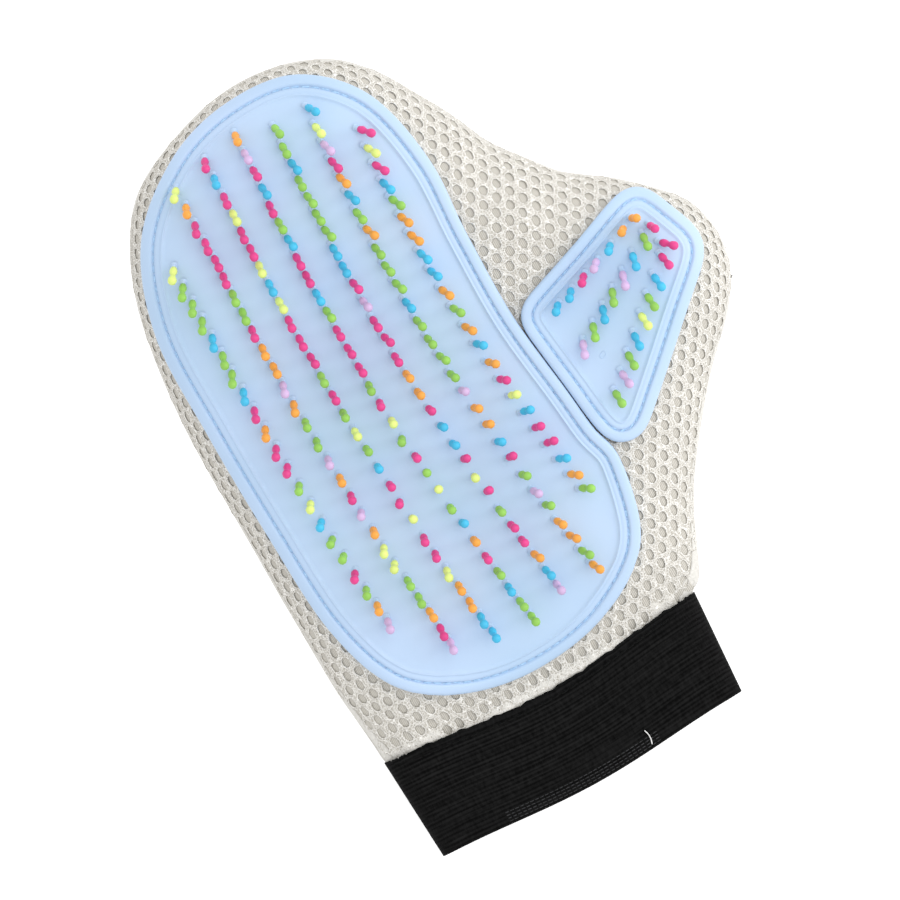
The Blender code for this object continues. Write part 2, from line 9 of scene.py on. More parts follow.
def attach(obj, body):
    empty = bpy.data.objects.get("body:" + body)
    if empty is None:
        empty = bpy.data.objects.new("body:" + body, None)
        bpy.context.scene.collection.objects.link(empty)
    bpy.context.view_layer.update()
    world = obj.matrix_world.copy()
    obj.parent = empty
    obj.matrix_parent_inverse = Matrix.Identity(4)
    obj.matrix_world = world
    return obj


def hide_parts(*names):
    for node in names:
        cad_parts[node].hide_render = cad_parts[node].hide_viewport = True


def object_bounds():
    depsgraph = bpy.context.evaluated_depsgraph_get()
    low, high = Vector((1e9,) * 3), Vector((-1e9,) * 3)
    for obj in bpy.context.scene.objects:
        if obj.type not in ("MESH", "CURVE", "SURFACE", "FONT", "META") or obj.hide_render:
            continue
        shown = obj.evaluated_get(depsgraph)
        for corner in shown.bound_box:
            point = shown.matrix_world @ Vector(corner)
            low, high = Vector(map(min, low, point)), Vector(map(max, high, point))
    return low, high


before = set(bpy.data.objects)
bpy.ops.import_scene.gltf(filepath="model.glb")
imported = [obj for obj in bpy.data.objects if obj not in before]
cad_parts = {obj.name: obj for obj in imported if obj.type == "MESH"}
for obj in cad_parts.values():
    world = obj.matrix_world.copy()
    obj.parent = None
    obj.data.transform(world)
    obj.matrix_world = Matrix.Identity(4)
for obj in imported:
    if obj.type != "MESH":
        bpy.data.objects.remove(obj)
cad_low, cad_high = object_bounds()

# Sizes are in millimetres, and meshes are scaled by this once their points are in place.
MM = 0.001

# --- Camera, floor and light ---------------------------------------------------------------------
# A long lens looks straight down on the palm side, rolled so that the fingertips lean to the left.
# The floor is a white table, lit by a large soft lamp from the right, a weaker low one beside it
# and an even white room. Lengths here are in metres, and the sensor is in millimetres.

CAMERA_ROLL = 29.0
CAMERA_DISTANCE = 3.0
VIEW_WIDTH = 0.279
VIEW_OFFSET = Vector((-0.0182, -0.0095, 0.0))
SENSOR = 36.0
SEAM_LEVEL = Vector((0.0, 0.0, 0.014))
FLOOR_HALF = 6.0
FLOOR_DROP = 0.0003
FLOOR_GLOW = 0.55
LAMPS = (("softbox", 1.1, 4.3, (0.58, 0.10, 0.98)),
         ("side light", 0.5, 2.8, (1.02, -0.2, 0.4)))


def wire(tree, node, values):
    """Sets a node's inputs, given by name or number, to numbers, colours or other nodes' outputs."""
    for key, value in values.items():
        if isinstance(value, bpy.types.NodeSocket):
            tree.links.new(value, node.inputs[key])
        else:
            node.inputs[key].default_value = value


def add(tree, kind, values=None, stops=(), **settings):
    """Adds a shader node with its inputs, its settings and, on a colour ramp, its stops."""
    made = tree.nodes.new("ShaderNode" + kind)
    for key, value in settings.items():
        setattr(made, key, value)
    wire(tree, made, values or {})
    for k, (position, colour) in enumerate(stops):
        elements = made.color_ramp.elements
        stop = elements[k] if k < 2 else elements.new(position)
        stop.position, stop.color = position, colour
    return made


def straight_seen(tree):
    """One where a thing is seen straight, in a gloss or through glass, and nought elsewhere."""
    path = add(tree, "LightPath")
    seen = add(tree, "Math", {0: path.outputs["Is Camera Ray"], 1: path.outputs["Is Glossy Ray"]},
               operation="MAXIMUM")
    through = add(tree, "Math", {0: seen.outputs[0], 1: path.outputs["Is Transmission Ray"]},
                  operation="MAXIMUM")
    return through.outputs[0]


def linear(colour):
    """An sRGB hex colour as linear red, green, blue and alpha."""
    shares = [int(colour[k:k + 2], 16) / 255 for k in (1, 3, 5)]
    return (*[c / 12.92 if c <= 0.04045 else ((c + 0.055) / 1.055) ** 2.4 for c in shares], 1.0)


scene = bpy.context.scene
scene.view_settings.view_transform = "Standard"

middle = (cad_low + cad_high) / 2
target = Vector((middle.x, middle.y, 0.0)) + VIEW_OFFSET + SEAM_LEVEL
camera = bpy.data.objects.new("camera", bpy.data.cameras.new("camera"))
scene.collection.objects.link(camera)
camera.data.sensor_width = SENSOR
camera.data.lens = SENSOR * CAMERA_DISTANCE / VIEW_WIDTH
camera.matrix_world = (Matrix.Translation(target)
                       @ Matrix.Rotation(math.radians(-CAMERA_ROLL), 4, "Z")
                       @ Matrix.Translation((0.0, 0.0, CAMERA_DISTANCE)))
scene.camera = camera

bm = bmesh.new()
bmesh.ops.create_grid(bm, x_segments=1, y_segments=1, size=FLOOR_HALF)
floor_mesh = bpy.data.meshes.new("floor")
bm.to_mesh(floor_mesh)
bm.free()
floor = bpy.data.objects.new("floor", floor_mesh)
floor.location.z = -FLOOR_DROP
scene.collection.objects.link(floor)

# White table top: matt, with enough of its own white, to the eye only, to reach pure white.
table_top = bpy.data.materials.new("white table top")
table_top.use_nodes = True
tree = table_top.node_tree
tree.nodes.clear()
matt = add(tree, "BsdfDiffuse", {"Color": linear("#F4F4F4")})
glow = add(tree, "Emission", {"Color": linear("#FFFFFF"), "Strength": FLOOR_GLOW})
lit = add(tree, "AddShader", {0: matt.outputs[0], 1: glow.outputs[0]})
shown = add(tree, "MixShader", {0: straight_seen(tree), 1: matt.outputs[0], 2: lit.outputs[0]})
add(tree, "OutputMaterial", {"Surface": shown.outputs[0]})
floor_mesh.materials.append(table_top)

world = bpy.data.worlds.new("white room")
scene.world = world
world.use_nodes = True
tree = world.node_tree
tree.nodes.clear()
room = add(tree, "Background", {"Color": linear("#FFFFFF"), "Strength": 1.0})
backdrop = add(tree, "Background", {"Color": linear("#FFFFFF"), "Strength": 1.0})
shown = add(tree, "MixShader", {0: straight_seen(tree), 1: room.outputs[0], 2: backdrop.outputs[0]})
add(tree, "OutputWorld", {"Surface": shown.outputs[0]})

for name, side, energy, way in LAMPS:
    lamp = bpy.data.objects.new(name, bpy.data.lights.new(name, "AREA"))
    lamp.data.shape = "SQUARE"
    lamp.data.size = side
    lamp.data.energy = energy
    scene.collection.objects.link(lamp)
    lamp.location = target + Vector(way)
    lamp.rotation_euler = (target - lamp.location).to_track_quat("-Z", "Y").to_euler()

# --- The two mesh panels -------------------------------------------------------------------------
# Each is cut from 3 mm polyester spacer mesh: an open knitted net outside, a close inner face, and
# fine yarns that hold the two apart. The palm and back are sewn inside out round the edge and turned.

MITT_LENGTH = 244.0
MITT_WIDTH = 174.6
HALF_LENGTH = MITT_LENGTH / 2
HALF_WIDTH = MITT_WIDTH / 2
SEAM_HEIGHT = 11.0
TIP_SEAM_HEIGHT = 17.0
HEEL_HEIGHT = 25.0
PALM_HEIGHT = 31.0
FINGER_HEIGHT = 37.0
PALM_SHOULDER = 25.0
BACK_SHOULDER = 20.0
CUFF_LENGTH = 34.0
CUFF_THICKNESS = 1.5
CUFF_HEIGHT = 16.0
MOUTH_HEIGHT = 11.0
CUFF_WIDTH = 110.0
MOUTH_WIDTH = 106.0
CUFF_OVERLAP = 6.0
CUFF_EDGE_DIP = 4.5
CUFF_HEM_BOW = 3.0
GAP = 0.3
CUFF_TOP_Y = -HALF_LENGTH + CUFF_HEM_BOW + CUFF_LENGTH
BODY_END_Y = CUFF_TOP_Y - CUFF_OVERLAP
FREE_FROM_Y = CUFF_TOP_Y + 1.0
CUFF_CENTRE = -0.325 * HALF_WIDTH
MITT_OUTLINE = [(0.362, -0.655), (0.49, -0.465), (0.70, -0.255),
                (0.905, -0.105), (1.0, 0.035), (0.97, 0.175), (0.80, 0.31), (0.60, 0.42),
                (0.475, 0.53), (0.375, 0.655), (0.25, 0.82), (0.085, 0.945), (-0.195, 1.0),
                (-0.51, 0.962), (-0.775, 0.855), (-0.935, 0.635), (-1.0, 0.31), (-1.0, 0.0),
                (-0.99, -0.41), (-0.965, -0.64)]
PALM_PAD_OUTLINE = [(-0.32, -0.661), (-0.031, -0.628), (0.212, -0.516), (0.299, -0.311),
                    (0.270, -0.2), (0.2515, -0.085), (0.213, 0.14), (0.211, 0.37), (0.215, 0.586),
                    (0.134, 0.803), (-0.056, 0.93), (-0.319, 0.948), (-0.571, 0.89),
                    (-0.793, 0.752), (-0.906, 0.53), (-0.917, 0.25), (-0.906, -0.04),
                    (-0.88, -0.331), (-0.781, -0.53), (-0.578, -0.627)]
THUMB_PAD_CORNERS = [(0.944, 0.072, 11.0), (0.81, 0.297, 9.0), (0.213, 0.147, 8.0),
                     (0.301, -0.353, 8.5)]
PADS_APART = 0.3

# The net repeats every 4.75 mm across the hand, and its holes are taller than they are wide.
CELL_PITCH = 4.75
CELL_RADIUS = CELL_PITCH / math.sqrt(3)
CELL_SQUEEZE = 0.49
STRAND_INSET = 0.55
NET_THICKNESS = 0.36
CUT_MARGIN = 20.0
PAD_MARGIN = 4.5

# The knitting slants near the wrist, by this much at the little finger's side and at the thumb's.
SLANT_FROM_Y = -45.0
SLANT_REACH = 40.0
SLANT_ENDS = ((-80.0, 5.6), (25.0, -3.0))

# The close inner face, and the pressed strip along the seam, which runs a little under the net.
INNER_FACE_DEPTH = 0.54
INNER_FACE_THICKNESS = 0.6
INNER_FACE_INSET = 1.6
INNER_FACE_LIFT = 0.2
EDGE_START = 0.15
EDGE_BAND = 3.0
EDGE_LAP = 2.4
EDGE_DEPTH = 0.25
EDGE_PINCH = 0.7
PINCH_REACH = 2.5
CELL_CLEARANCE = 1.6

# How the cloth swells beside the cuff's stitches, is drawn into lumps and lies uneven elsewhere.
SWELL_HEIGHT = 0.9
SWELL_REACH = 2.2
SWELL_UNDER_CUFF = 0.8
GATHER_REACH = 1.3
LUMP_HEIGHT = 0.55
FOLD_DEPTH = 0.15
LUMP_SPREAD = 0.25
SLACK_HEIGHT = 0.45
SLACK_REACH = 14.0
SHEET_GRID = 4.0


def graded(shares):
    """Points of an outline in millimetres, from shares of half the width and length."""
    return np.array([(x * HALF_WIDTH, y * HALF_LENGTH) for x, y in shares])


def joined_up(loop):
    """A closed loop's points with the first one again at the end."""
    return np.vstack([loop, loop[:1]])


def lengths_along(line):
    """How far along a line each of its points lies."""
    return np.concatenate([[0.0], np.cumsum(np.linalg.norm(np.diff(line, axis=0), axis=1))])


def resampled(curve, count, closed):
    """The curve with a given number of evenly spaced points."""
    line = joined_up(curve) if closed else curve
    run = lengths_along(line)
    at = np.linspace(0.0, run[-1], count + 1 if closed else count)
    even = np.column_stack([np.interp(at, run, line[:, k]) for k in range(2)])
    return even[:-1] if closed else even


def smooth_curve(points, count, closed):
    """A Catmull-Rom curve through the points, evenly resampled."""
    if closed:
        control = np.vstack([points[-1:], points, points[:2]])
    else:
        control = np.vstack([2 * points[0] - points[1], points, 2 * points[-1] - points[-2]])
    t = np.linspace(0.0, 1.0, 16, endpoint=False)[:, None]
    pieces = []
    for a, b, c, d in zip(control, control[1:], control[2:], control[3:]):
        pieces.append(0.5 * (2 * b + (c - a) * t + (2 * a - 5 * b + 4 * c - d) * t ** 2
                             + (3 * b - a - 3 * c + d) * t ** 3))
    if not closed:
        pieces.append(control[-2:-1])
    return resampled(np.vstack(pieces), count, closed)


def inset(curve, distance, closed):
    """The curve moved to its left, which is inwards on an anticlockwise outline."""
    if closed:
        along = np.roll(curve, -1, axis=0) - np.roll(curve, 1, axis=0)
    else:
        along = np.gradient(curve, axis=0)
    along /= np.linalg.norm(along, axis=1)[:, None]
    return curve + np.column_stack([-along[:, 1], along[:, 0]]) * np.reshape(distance, (-1, 1))


def nearest(curve, points):
    """The nearest point of a polyline to each point, and the polyline's direction there.

    The points are taken in batches, to spare memory."""
    start, step = curve[:-1], np.diff(curve, axis=0)
    batch = 4000
    feet, ways = [], []
    for part in np.array_split(points, max(1, len(points) // batch)):
        offset = part[:, None, :] - start[None]
        share = np.clip((offset * step).sum(2) / (step ** 2).sum(1), 0.0, 1.0)
        gap = np.linalg.norm(offset - share[..., None] * step, axis=2)
        best = gap.argmin(1)
        feet.append(start[best] + share[np.arange(len(part)), best, None] * step[best])
        ways.append(step[best] / np.linalg.norm(step[best], axis=1)[:, None])
    return np.vstack(feet), np.vstack(ways)


def distance_to(curve, points):
    """How far each point lies from a polyline."""
    return np.linalg.norm(points - nearest(curve, points)[0], axis=1)


def is_inside(loop, points):
    """Which points lie inside a closed loop."""
    x, y = points[:, 0, None], points[:, 1, None]
    x1, y1 = loop[:, 0], loop[:, 1]
    x2, y2 = np.roll(x1, -1), np.roll(y1, -1)
    crosses = (y1 > y) != (y2 > y)
    rise = np.where(y2 == y1, 1.0, y2 - y1)
    return (crosses & (x < x1 + (y - y1) / rise * (x2 - x1))).sum(1) % 2 == 1


def smoothstep(low, high, value):
    """A share that eases from nought at the low value to one at the high one."""
    t = np.clip((value - low) / (high - low), 0.0, 1.0)
    return t * t * (3 - 2 * t)


def side_line():
    """The mitten's outline from wrist to wrist, drawn in at both ends to pass inside the cuff."""
    half = CUFF_WIDTH / 2 - CUFF_THICKNESS - 2 * GAP
    levels = [(half, -HALF_LENGTH), (half, BODY_END_Y), (half, CUFF_TOP_Y - 1.5),
              (half + 2.0, CUFF_TOP_Y + 0.9)]
    right = [(CUFF_CENTRE + x, y) for x, y in levels]
    left = [(CUFF_CENTRE - x, y) for x, y in reversed(levels)]
    return smooth_curve(np.vstack([right, graded(MITT_OUTLINE), left]), 400, False)


SIDE_LINE = side_line()


def cuff_edge(x):
    """Where the cuff's upper edge lies, which dips towards the middle of its width."""
    across = np.minimum(np.abs(x - CUFF_CENTRE) / (CUFF_WIDTH / 2), 1.0)
    return CUFF_TOP_Y - CUFF_EDGE_DIP * np.cos(across * math.pi / 2) ** 2


def seam_height(y):
    """Height of the seam between the two panels, which rises to the fingertips."""
    wrist = CUFF_HEIGHT / 2
    at_palm = wrist + (SEAM_HEIGHT - wrist) * smoothstep(BODY_END_Y, -0.3 * HALF_LENGTH, y)
    return at_palm + (TIP_SEAM_HEIGHT - SEAM_HEIGHT) * smoothstep(0.0, HALF_LENGTH, y)


def crown_height(y):
    """Height of the palm side along the middle of the mitt."""
    wrist = CUFF_HEIGHT - CUFF_THICKNESS - GAP
    taper = (CUFF_HEIGHT - MOUTH_HEIGHT) * CUFF_OVERLAP / CUFF_LENGTH
    stations = [BODY_END_Y, FREE_FROM_Y, -0.55 * HALF_LENGTH, -0.2 * HALF_LENGTH, 0.1 * HALF_LENGTH,
                0.66 * HALF_LENGTH, HALF_LENGTH]
    heights = [wrist - taper, wrist, HEEL_HEIGHT, PALM_HEIGHT, PALM_HEIGHT + 0.8, FINGER_HEIGHT,
               FINGER_HEIGHT]
    reach = np.clip((y - FREE_FROM_Y) / 2, 0.0, 14.0)
    steps = [np.interp(y + k * reach, stations, heights) for k in (-1.0, -0.5, 0.0, 0.5, 1.0)]
    return sum(steps) / len(steps)


def floor_height(y):
    """Height of the back panel's flat, which is tucked up where the cuff goes round it."""
    return (CUFF_THICKNESS + GAP) * (1.0 - smoothstep(FREE_FROM_Y, FREE_FROM_Y + 9.0, y))


def palm_height(points):
    """Height of the palm panel's outer face."""
    y = points[:, 1]
    out = 1.0 - np.clip(distance_to(SIDE_LINE, points) / PALM_SHOULDER, 0.0, 1.0)
    return seam_height(y) + (crown_height(y) - seam_height(y)) * np.sqrt(1.0 - out ** 2)


def palm_points(points, height):
    """Points at a height above the palm panel, measured square to it, and its normals there."""
    step = 0.25
    across = palm_height(points + (step, 0)) - palm_height(points - (step, 0))
    along = palm_height(points + (0, step)) - palm_height(points - (0, step))
    normal = np.column_stack([-across, -along, np.full(len(points), 2 * step)])
    normal /= np.linalg.norm(normal, axis=1)[:, None]
    base = np.column_stack([points, palm_height(points)])
    return base + normal * np.reshape(height, (-1, 1)), normal


def shoulder_of(palm):
    """How far in from the seam a panel's round shoulder reaches."""
    return PALM_SHOULDER if palm else BACK_SHOULDER


def rise_of(y, palm):
    """How far a panel's crown stands above or below the seam."""
    return crown_height(y) - seam_height(y) if palm else seam_height(y) - floor_height(y)


def shoulder_arc(rise, reach):
    """Lengths along a quarter of an ellipse from the seam to the crown, at even turns."""
    turns = np.linspace(0.0, math.pi / 2, 33)
    slope = np.sqrt((reach * np.sin(turns)) ** 2 + (np.reshape(rise, (-1, 1)) * np.cos(turns)) ** 2)
    steps = (slope[:, 1:] + slope[:, :-1]) / 2 * (turns[1] - turns[0])
    return turns, np.concatenate([np.zeros((len(slope), 1)), np.cumsum(steps, axis=1)], axis=1)


def on_panel(cut, palm):
    """Carries points of the flat cut onto the mitten: positions, normals and distance from the seam.

    The cut lies in plan over the crown, and goes round the shoulder at its true length."""
    reach = shoulder_of(palm)
    side = 1.0 if palm else -1.0
    near, step = 0.3, 0.5
    feet, ways = nearest(SIDE_LINE, cut)
    inward = np.column_stack([-ways[:, 1], ways[:, 0]])
    away = ((cut - feet) * inward).sum(1)
    off = np.linalg.norm(cut - feet, axis=1)
    signed = np.sign(away) * off
    clear = off > near
    inward[clear] = (cut - feet)[clear] / signed[clear, None]
    rise = rise_of(feet[:, 1], palm)
    turns, arc = shoulder_arc(rise, reach)
    run = signed + arc[:, -1] - reach
    spot = np.clip((arc < run[:, None]).sum(1), 1, len(turns) - 1)
    row = np.arange(len(run))
    span = arc[row, spot] - arc[row, spot - 1]
    share = np.clip((run - arc[row, spot - 1]) / span, 0.0, 1.0)
    turn = turns[spot - 1] + share * (turns[1] - turns[0])
    shift = np.where(run < arc[:, -1], reach * (1 - np.cos(turn)), signed)
    plan = feet + inward * shift[:, None]
    y = plan[:, 1]
    sine, cosine = np.sin(turn), np.cos(turn)
    z = seam_height(y) + side * rise_of(y, palm) * sine
    ahead = seam_height(y + step) + side * rise_of(y + step, palm) * sine
    normal = -inward * (rise_of(y, palm) * cosine)[:, None]
    normal = np.column_stack([normal, side * reach * sine])
    normal[:, 1] -= side * reach * sine * (ahead - z) / step
    normal /= np.linalg.norm(normal, axis=1)[:, None]
    return np.column_stack([plan, z]), normal, run


def cut_line(run, palm, count):
    """The line of the flat cut that lies at a distance along the cloth from the seam."""
    seam = resampled(SIDE_LINE[SIDE_LINE[:, 1] > BODY_END_Y], count, False)
    reach = shoulder_of(palm)
    _, arc = shoulder_arc(rise_of(seam[:, 1], palm), reach)
    return inset(seam, run + reach - arc[:, -1], False)


def rounded_polygon(corners, count):
    """A closed polygon with a round arc of its own radius at each corner."""
    points = []
    for k, (x, y, radius) in enumerate(corners):
        corner = np.array([x, y])
        before = np.array(corners[k - 1][:2]) - corner
        after = np.array(corners[(k + 1) % len(corners)][:2]) - corner
        before /= np.linalg.norm(before)
        after /= np.linalg.norm(after)
        half = 0.5 * math.acos(float(before @ after))
        centre = corner + (before + after) / np.linalg.norm(before + after) * radius / math.sin(half)
        start = corner + before * radius / math.tan(half) - centre
        for turn in np.linspace(0.0, math.pi - 2 * half, 17):
            c, s = math.cos(turn), math.sin(turn)
            points.append(centre + (start[0] * c - start[1] * s, start[0] * s + start[1] * c))
    return resampled(np.array(points), count, True)


def thumb_pad_outline(palm_outline):
    """A four-sided pad, its inner side trimmed to run along the palm pad's edge, with round corners."""
    corners = [(x * HALF_WIDTH, y * HALF_LENGTH, radius) for x, y, radius in THUMB_PAD_CORNERS]
    outline = rounded_polygon(corners, 120)
    right = palm_outline[palm_outline[:, 0] > palm_outline[:, 0].mean()]
    right = right[np.argsort(right[:, 1])]
    beside = np.interp(outline[:, 1], right[:, 1], right[:, 0]) + PADS_APART
    outline = np.column_stack([np.maximum(outline[:, 0], beside), outline[:, 1]])
    for _ in range(6):
        outline = (np.roll(outline, 1, axis=0) + 2 * outline + np.roll(outline, -1, axis=0)) / 4
    return outline


PALM_OUTLINE = smooth_curve(graded(PALM_PAD_OUTLINE), 224, True)
PADS = {"palm_pad": PALM_OUTLINE, "thumb_pad": thumb_pad_outline(PALM_OUTLINE)}


def depth_in_pads(points):
    """How far in from a pad's edge each point lies in plan, and less than nought outside the pads."""
    depth = np.full(len(points), -np.inf)
    for outline in PADS.values():
        away = distance_to(joined_up(outline), points)
        depth = np.maximum(depth, np.where(is_inside(outline, points), away, -away))
    return depth


def slack(points):
    """The cloth's soft unevenness in millimetres, which dies away beside the pads."""
    x, y = points[:, 0], points[:, 1]
    wave = (np.sin(x / 9.3 + 1.3 * np.sin(y / 17.0)) * np.sin(y / 11.7 + 0.8)
            + 0.6 * np.sin(x / 5.1 - y / 6.3 + 2.0))
    return SLACK_HEIGHT * wave * smoothstep(1.0, SLACK_REACH, -depth_in_pads(points))


def finished(bm, name):
    """A piece from a bmesh in millimetres, shaded smooth, that rides on the part's one body."""
    bmesh.ops.scale(bm, vec=(MM, MM, MM), verts=bm.verts)
    mesh = bpy.data.meshes.new(name)
    bm.to_mesh(mesh)
    bm.free()
    mesh.shade_smooth()
    piece = bpy.data.objects.new(name, mesh)
    scene.collection.objects.link(piece)
    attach(piece, "root")
    return piece


def laid_on(bm, palm, depth, pinch=0.0):
    """Moves a flat cut's points onto the mitten, a depth below the panel's outer face.

    The pinch draws the cloth in at the seam, and it swells where the cuff's stitches gather it."""
    verts = list(bm.verts)
    flat = np.array([v.co[:2] for v in verts])
    place, normal, run = on_panel(flat, palm)
    lift = np.array([v.co.z for v in verts]) - depth
    lift -= pinch * (1.0 - np.clip(run / PINCH_REACH, 0.0, 1.0)) ** 2
    above = place[:, 1] - cuff_edge(place[:, 0])
    swell = SWELL_HEIGHT * np.exp(-np.maximum(above, 0.0) / SWELL_REACH)
    lift += np.where(above > -SWELL_UNDER_CUFF, swell, 0.0)
    if palm:
        lift = lift + slack(place[:, :2])
    place += normal * lift[:, None]
    for v, p in zip(verts, place):
        v.co = p


def keep_cut(bm):
    """Keeps each point's place in the flat cut as a map, for patterns that follow the cloth."""
    layer = bm.loops.layers.uv.new("cut")
    for face in bm.faces:
        for loop in face.loops:
            loop[layer].uv = loop.vert.co[:2]


def thickened(piece, thickness, levels=0):
    """Gives a piece its thickness inwards, and rounds it by so many levels of subdivision."""
    solid = piece.modifiers.new("thickness", "SOLIDIFY")
    solid.thickness = thickness * MM
    solid.offset = -1.0
    if levels:
        smooth = piece.modifiers.new("round", "SUBSURF")
        smooth.levels = levels
        smooth.render_levels = levels
    return piece


def pulled(points):
    """Points of the flat cut, drawn aslant towards the wrist and a little out of line as cloth is."""
    x, y = points[:, 0], points[:, 1]
    (left, left_slant), (right, right_slant) = SLANT_ENDS
    slant = left_slant + (right_slant - left_slant) * (x - left) / (right - left)
    slant *= np.clip((SLANT_FROM_Y - y) / SLANT_REACH, 0.0, 1.0) ** 2
    x = x + slant + 0.4 * np.sin(y / 13.0 + x / 31.0) + 0.14 * np.sin(2.9 * y + 1.7 * x)
    return np.column_stack([x, y + 0.5 * np.sin(x / 17.0 - y / 41.0)
                            + 0.14 * np.sin(3.1 * x - 2.3 * y)])


def cell_centres(palm):
    """Middles of the net's cells over the whole cut, before and after it is pulled into place."""
    low, high = SIDE_LINE.min(0) - CUT_MARGIN, SIDE_LINE.max(0) + CUT_MARGIN
    rows = np.arange(low[1], high[1], 1.5 * CELL_RADIUS)
    centres = [(x + (k % 2) * CELL_PITCH / 2, y) for k, y in enumerate(rows)
               for x in np.arange(low[0], high[0], CELL_PITCH)]
    centres = np.array(centres)
    moved = pulled(centres)
    place, _, run = on_panel(moved, palm)
    fits = (run > EDGE_BAND + CELL_CLEARANCE) & (moved[:, 1] > BODY_END_Y - 1.0)
    return centres[fits], place[fits, :2]


def facing_out(bm, palm):
    """Turns a flat cut over if its outer face would lie inside the mitten."""
    up = sum(face.normal.z * face.calc_area() for face in bm.faces)
    if (up > 0) != palm:
        bmesh.ops.reverse_faces(bm, faces=bm.faces)


def net(name, palm, lowest=-math.inf, highest=math.inf):
    """The outer face: a net of six-sided cells, each inset and opened.

    Cells stay closed under the pads, and are drawn shut into lumps along the cuff's stitches."""
    centres, plan = cell_centres(palm)
    wanted = (centres[:, 1] >= lowest) & (centres[:, 1] < highest)
    centres, plan = centres[wanted], plan[wanted]
    above = plan[:, 1] - cuff_edge(plan[:, 0])
    drawn = above < GATHER_REACH
    closed = drawn | (depth_in_pads(plan) > PAD_MARGIN) if palm else drawn
    bm = bmesh.new()
    for x, y in centres:
        bmesh.ops.create_circle(bm, cap_ends=True, segments=6, radius=CELL_RADIUS,
                                matrix=Matrix.Translation((x, y, 0.0)))
    bm.faces.ensure_lookup_table()
    cells = [face for face, shut in zip(bm.faces[:], closed) if not shut]
    lumps = [face for face, shut in zip(bm.faces[:], drawn) if shut]
    bmesh.ops.remove_doubles(bm, verts=bm.verts, dist=0.05)
    bmesh.ops.scale(bm, vec=(CELL_SQUEEZE, 1.0, 1.0), verts=bm.verts)
    bmesh.ops.inset_individual(bm, faces=cells, thickness=STRAND_INSET, use_even_offset=True)
    rim = bm.verts.layers.float.new("rim")
    for face in cells:
        for vert in face.verts:
            vert[rim] = 1.0
    bmesh.ops.delete(bm, geom=cells, context="FACES")
    lumps = [face for face in lumps if face.is_valid]
    if lumps:
        around = list({edge for face in lumps for edge in face.edges})
        halves = bmesh.ops.subdivide_edges(bm, edges=around, cuts=1)
        tops = bmesh.ops.poke(bm, faces=lumps)["verts"]
        folds = [item for item in halves["geom_inner"] if isinstance(item, bmesh.types.BMVert)]
        for vert, high in [(v, LUMP_HEIGHT) for v in tops] + [(v, -FOLD_DEPTH) for v in folds]:
            vert.co.z = high + LUMP_SPREAD * math.sin(7.3 * vert.co.x + 5.1 * vert.co.y)
    bmesh.ops.scale(bm, vec=(1 / CELL_SQUEEZE, 1.0, 1.0), verts=bm.verts)
    for vert, spot in zip(bm.verts, pulled(np.array([v.co[:2] for v in bm.verts]))):
        vert.co.xy = spot
    bmesh.ops.recalc_face_normals(bm, faces=bm.faces)
    facing_out(bm, palm)
    keep_cut(bm)
    laid_on(bm, palm, 0.0)
    return thickened(finished(bm, name), NET_THICKNESS, 1)


def cut_to_grid(bm, sheet, outline):
    """Cuts a flat face along and across into small cells, so that it can be bent over the hand."""
    cells = {sheet}
    low, high = outline.min(0), outline.max(0)
    for axis in range(2):
        across = Vector((1.0 - axis, float(axis), 0.0))
        for level in np.arange(low[axis] + SHEET_GRID / 2, high[axis], SHEET_GRID):
            geometry = set(cells)
            for face in cells:
                geometry.update(face.edges)
                geometry.update(face.verts)
            cut = bmesh.ops.bisect_plane(bm, geom=list(geometry), plane_co=across * level,
                                         plane_no=across)
            cells.update(item for item in cut["geom"] if isinstance(item, bmesh.types.BMFace))
            cells = {face for face in cells if face.is_valid}


def close_face(name, palm):
    """The inner face: one close-knitted sheet, cut along the seam and square at the wrist.

    It lies closer under the net round the shoulder, where the cloth is stretched thin."""
    outline = cut_line(INNER_FACE_INSET, palm, 190)
    bm = bmesh.new()
    sheet = bm.faces.new([bm.verts.new((x, y, 0.0)) for x, y in outline])
    cut_to_grid(bm, sheet, outline)
    facing_out(bm, palm)
    keep_cut(bm)
    runs = on_panel(np.array([v.co[:2] for v in bm.verts]), palm)[2]
    for vert, run in zip(bm.verts, runs):
        vert.co.z = INNER_FACE_LIFT * (1.0 - smoothstep(6.0, 18.0, run))
    laid_on(bm, palm, INNER_FACE_DEPTH)
    return thickened(finished(bm, name), INNER_FACE_THICKNESS)


def turned_edge(name, palm):
    """The strip beside the seam, where the cloth is pressed close and turned in."""
    columns, rows = 420, 6
    bm = bmesh.new()
    bmesh.ops.create_grid(bm, x_segments=columns, y_segments=rows, size=1.0)
    runs = np.linspace(EDGE_START, EDGE_BAND + EDGE_LAP, rows + 1)
    lines = [cut_line(run, palm, columns + 1) for run in runs]
    for vert in bm.verts:
        column = round((vert.co.x + 1.0) / 2 * columns)
        row = round((vert.co.y + 1.0) / 2 * rows)
        vert.co.x, vert.co.y = lines[row][column]
    if not palm:
        bmesh.ops.reverse_faces(bm, faces=bm.faces)
    keep_cut(bm)
    laid_on(bm, palm, EDGE_DEPTH, pinch=EDGE_PINCH)
    return thickened(finished(bm, name), NET_THICKNESS)


def principled(name):
    """A new material with its node tree and its one shader."""
    material = bpy.data.materials.new(name)
    material.use_nodes = True
    tree = material.node_tree
    return material, tree, tree.nodes["Principled BSDF"]


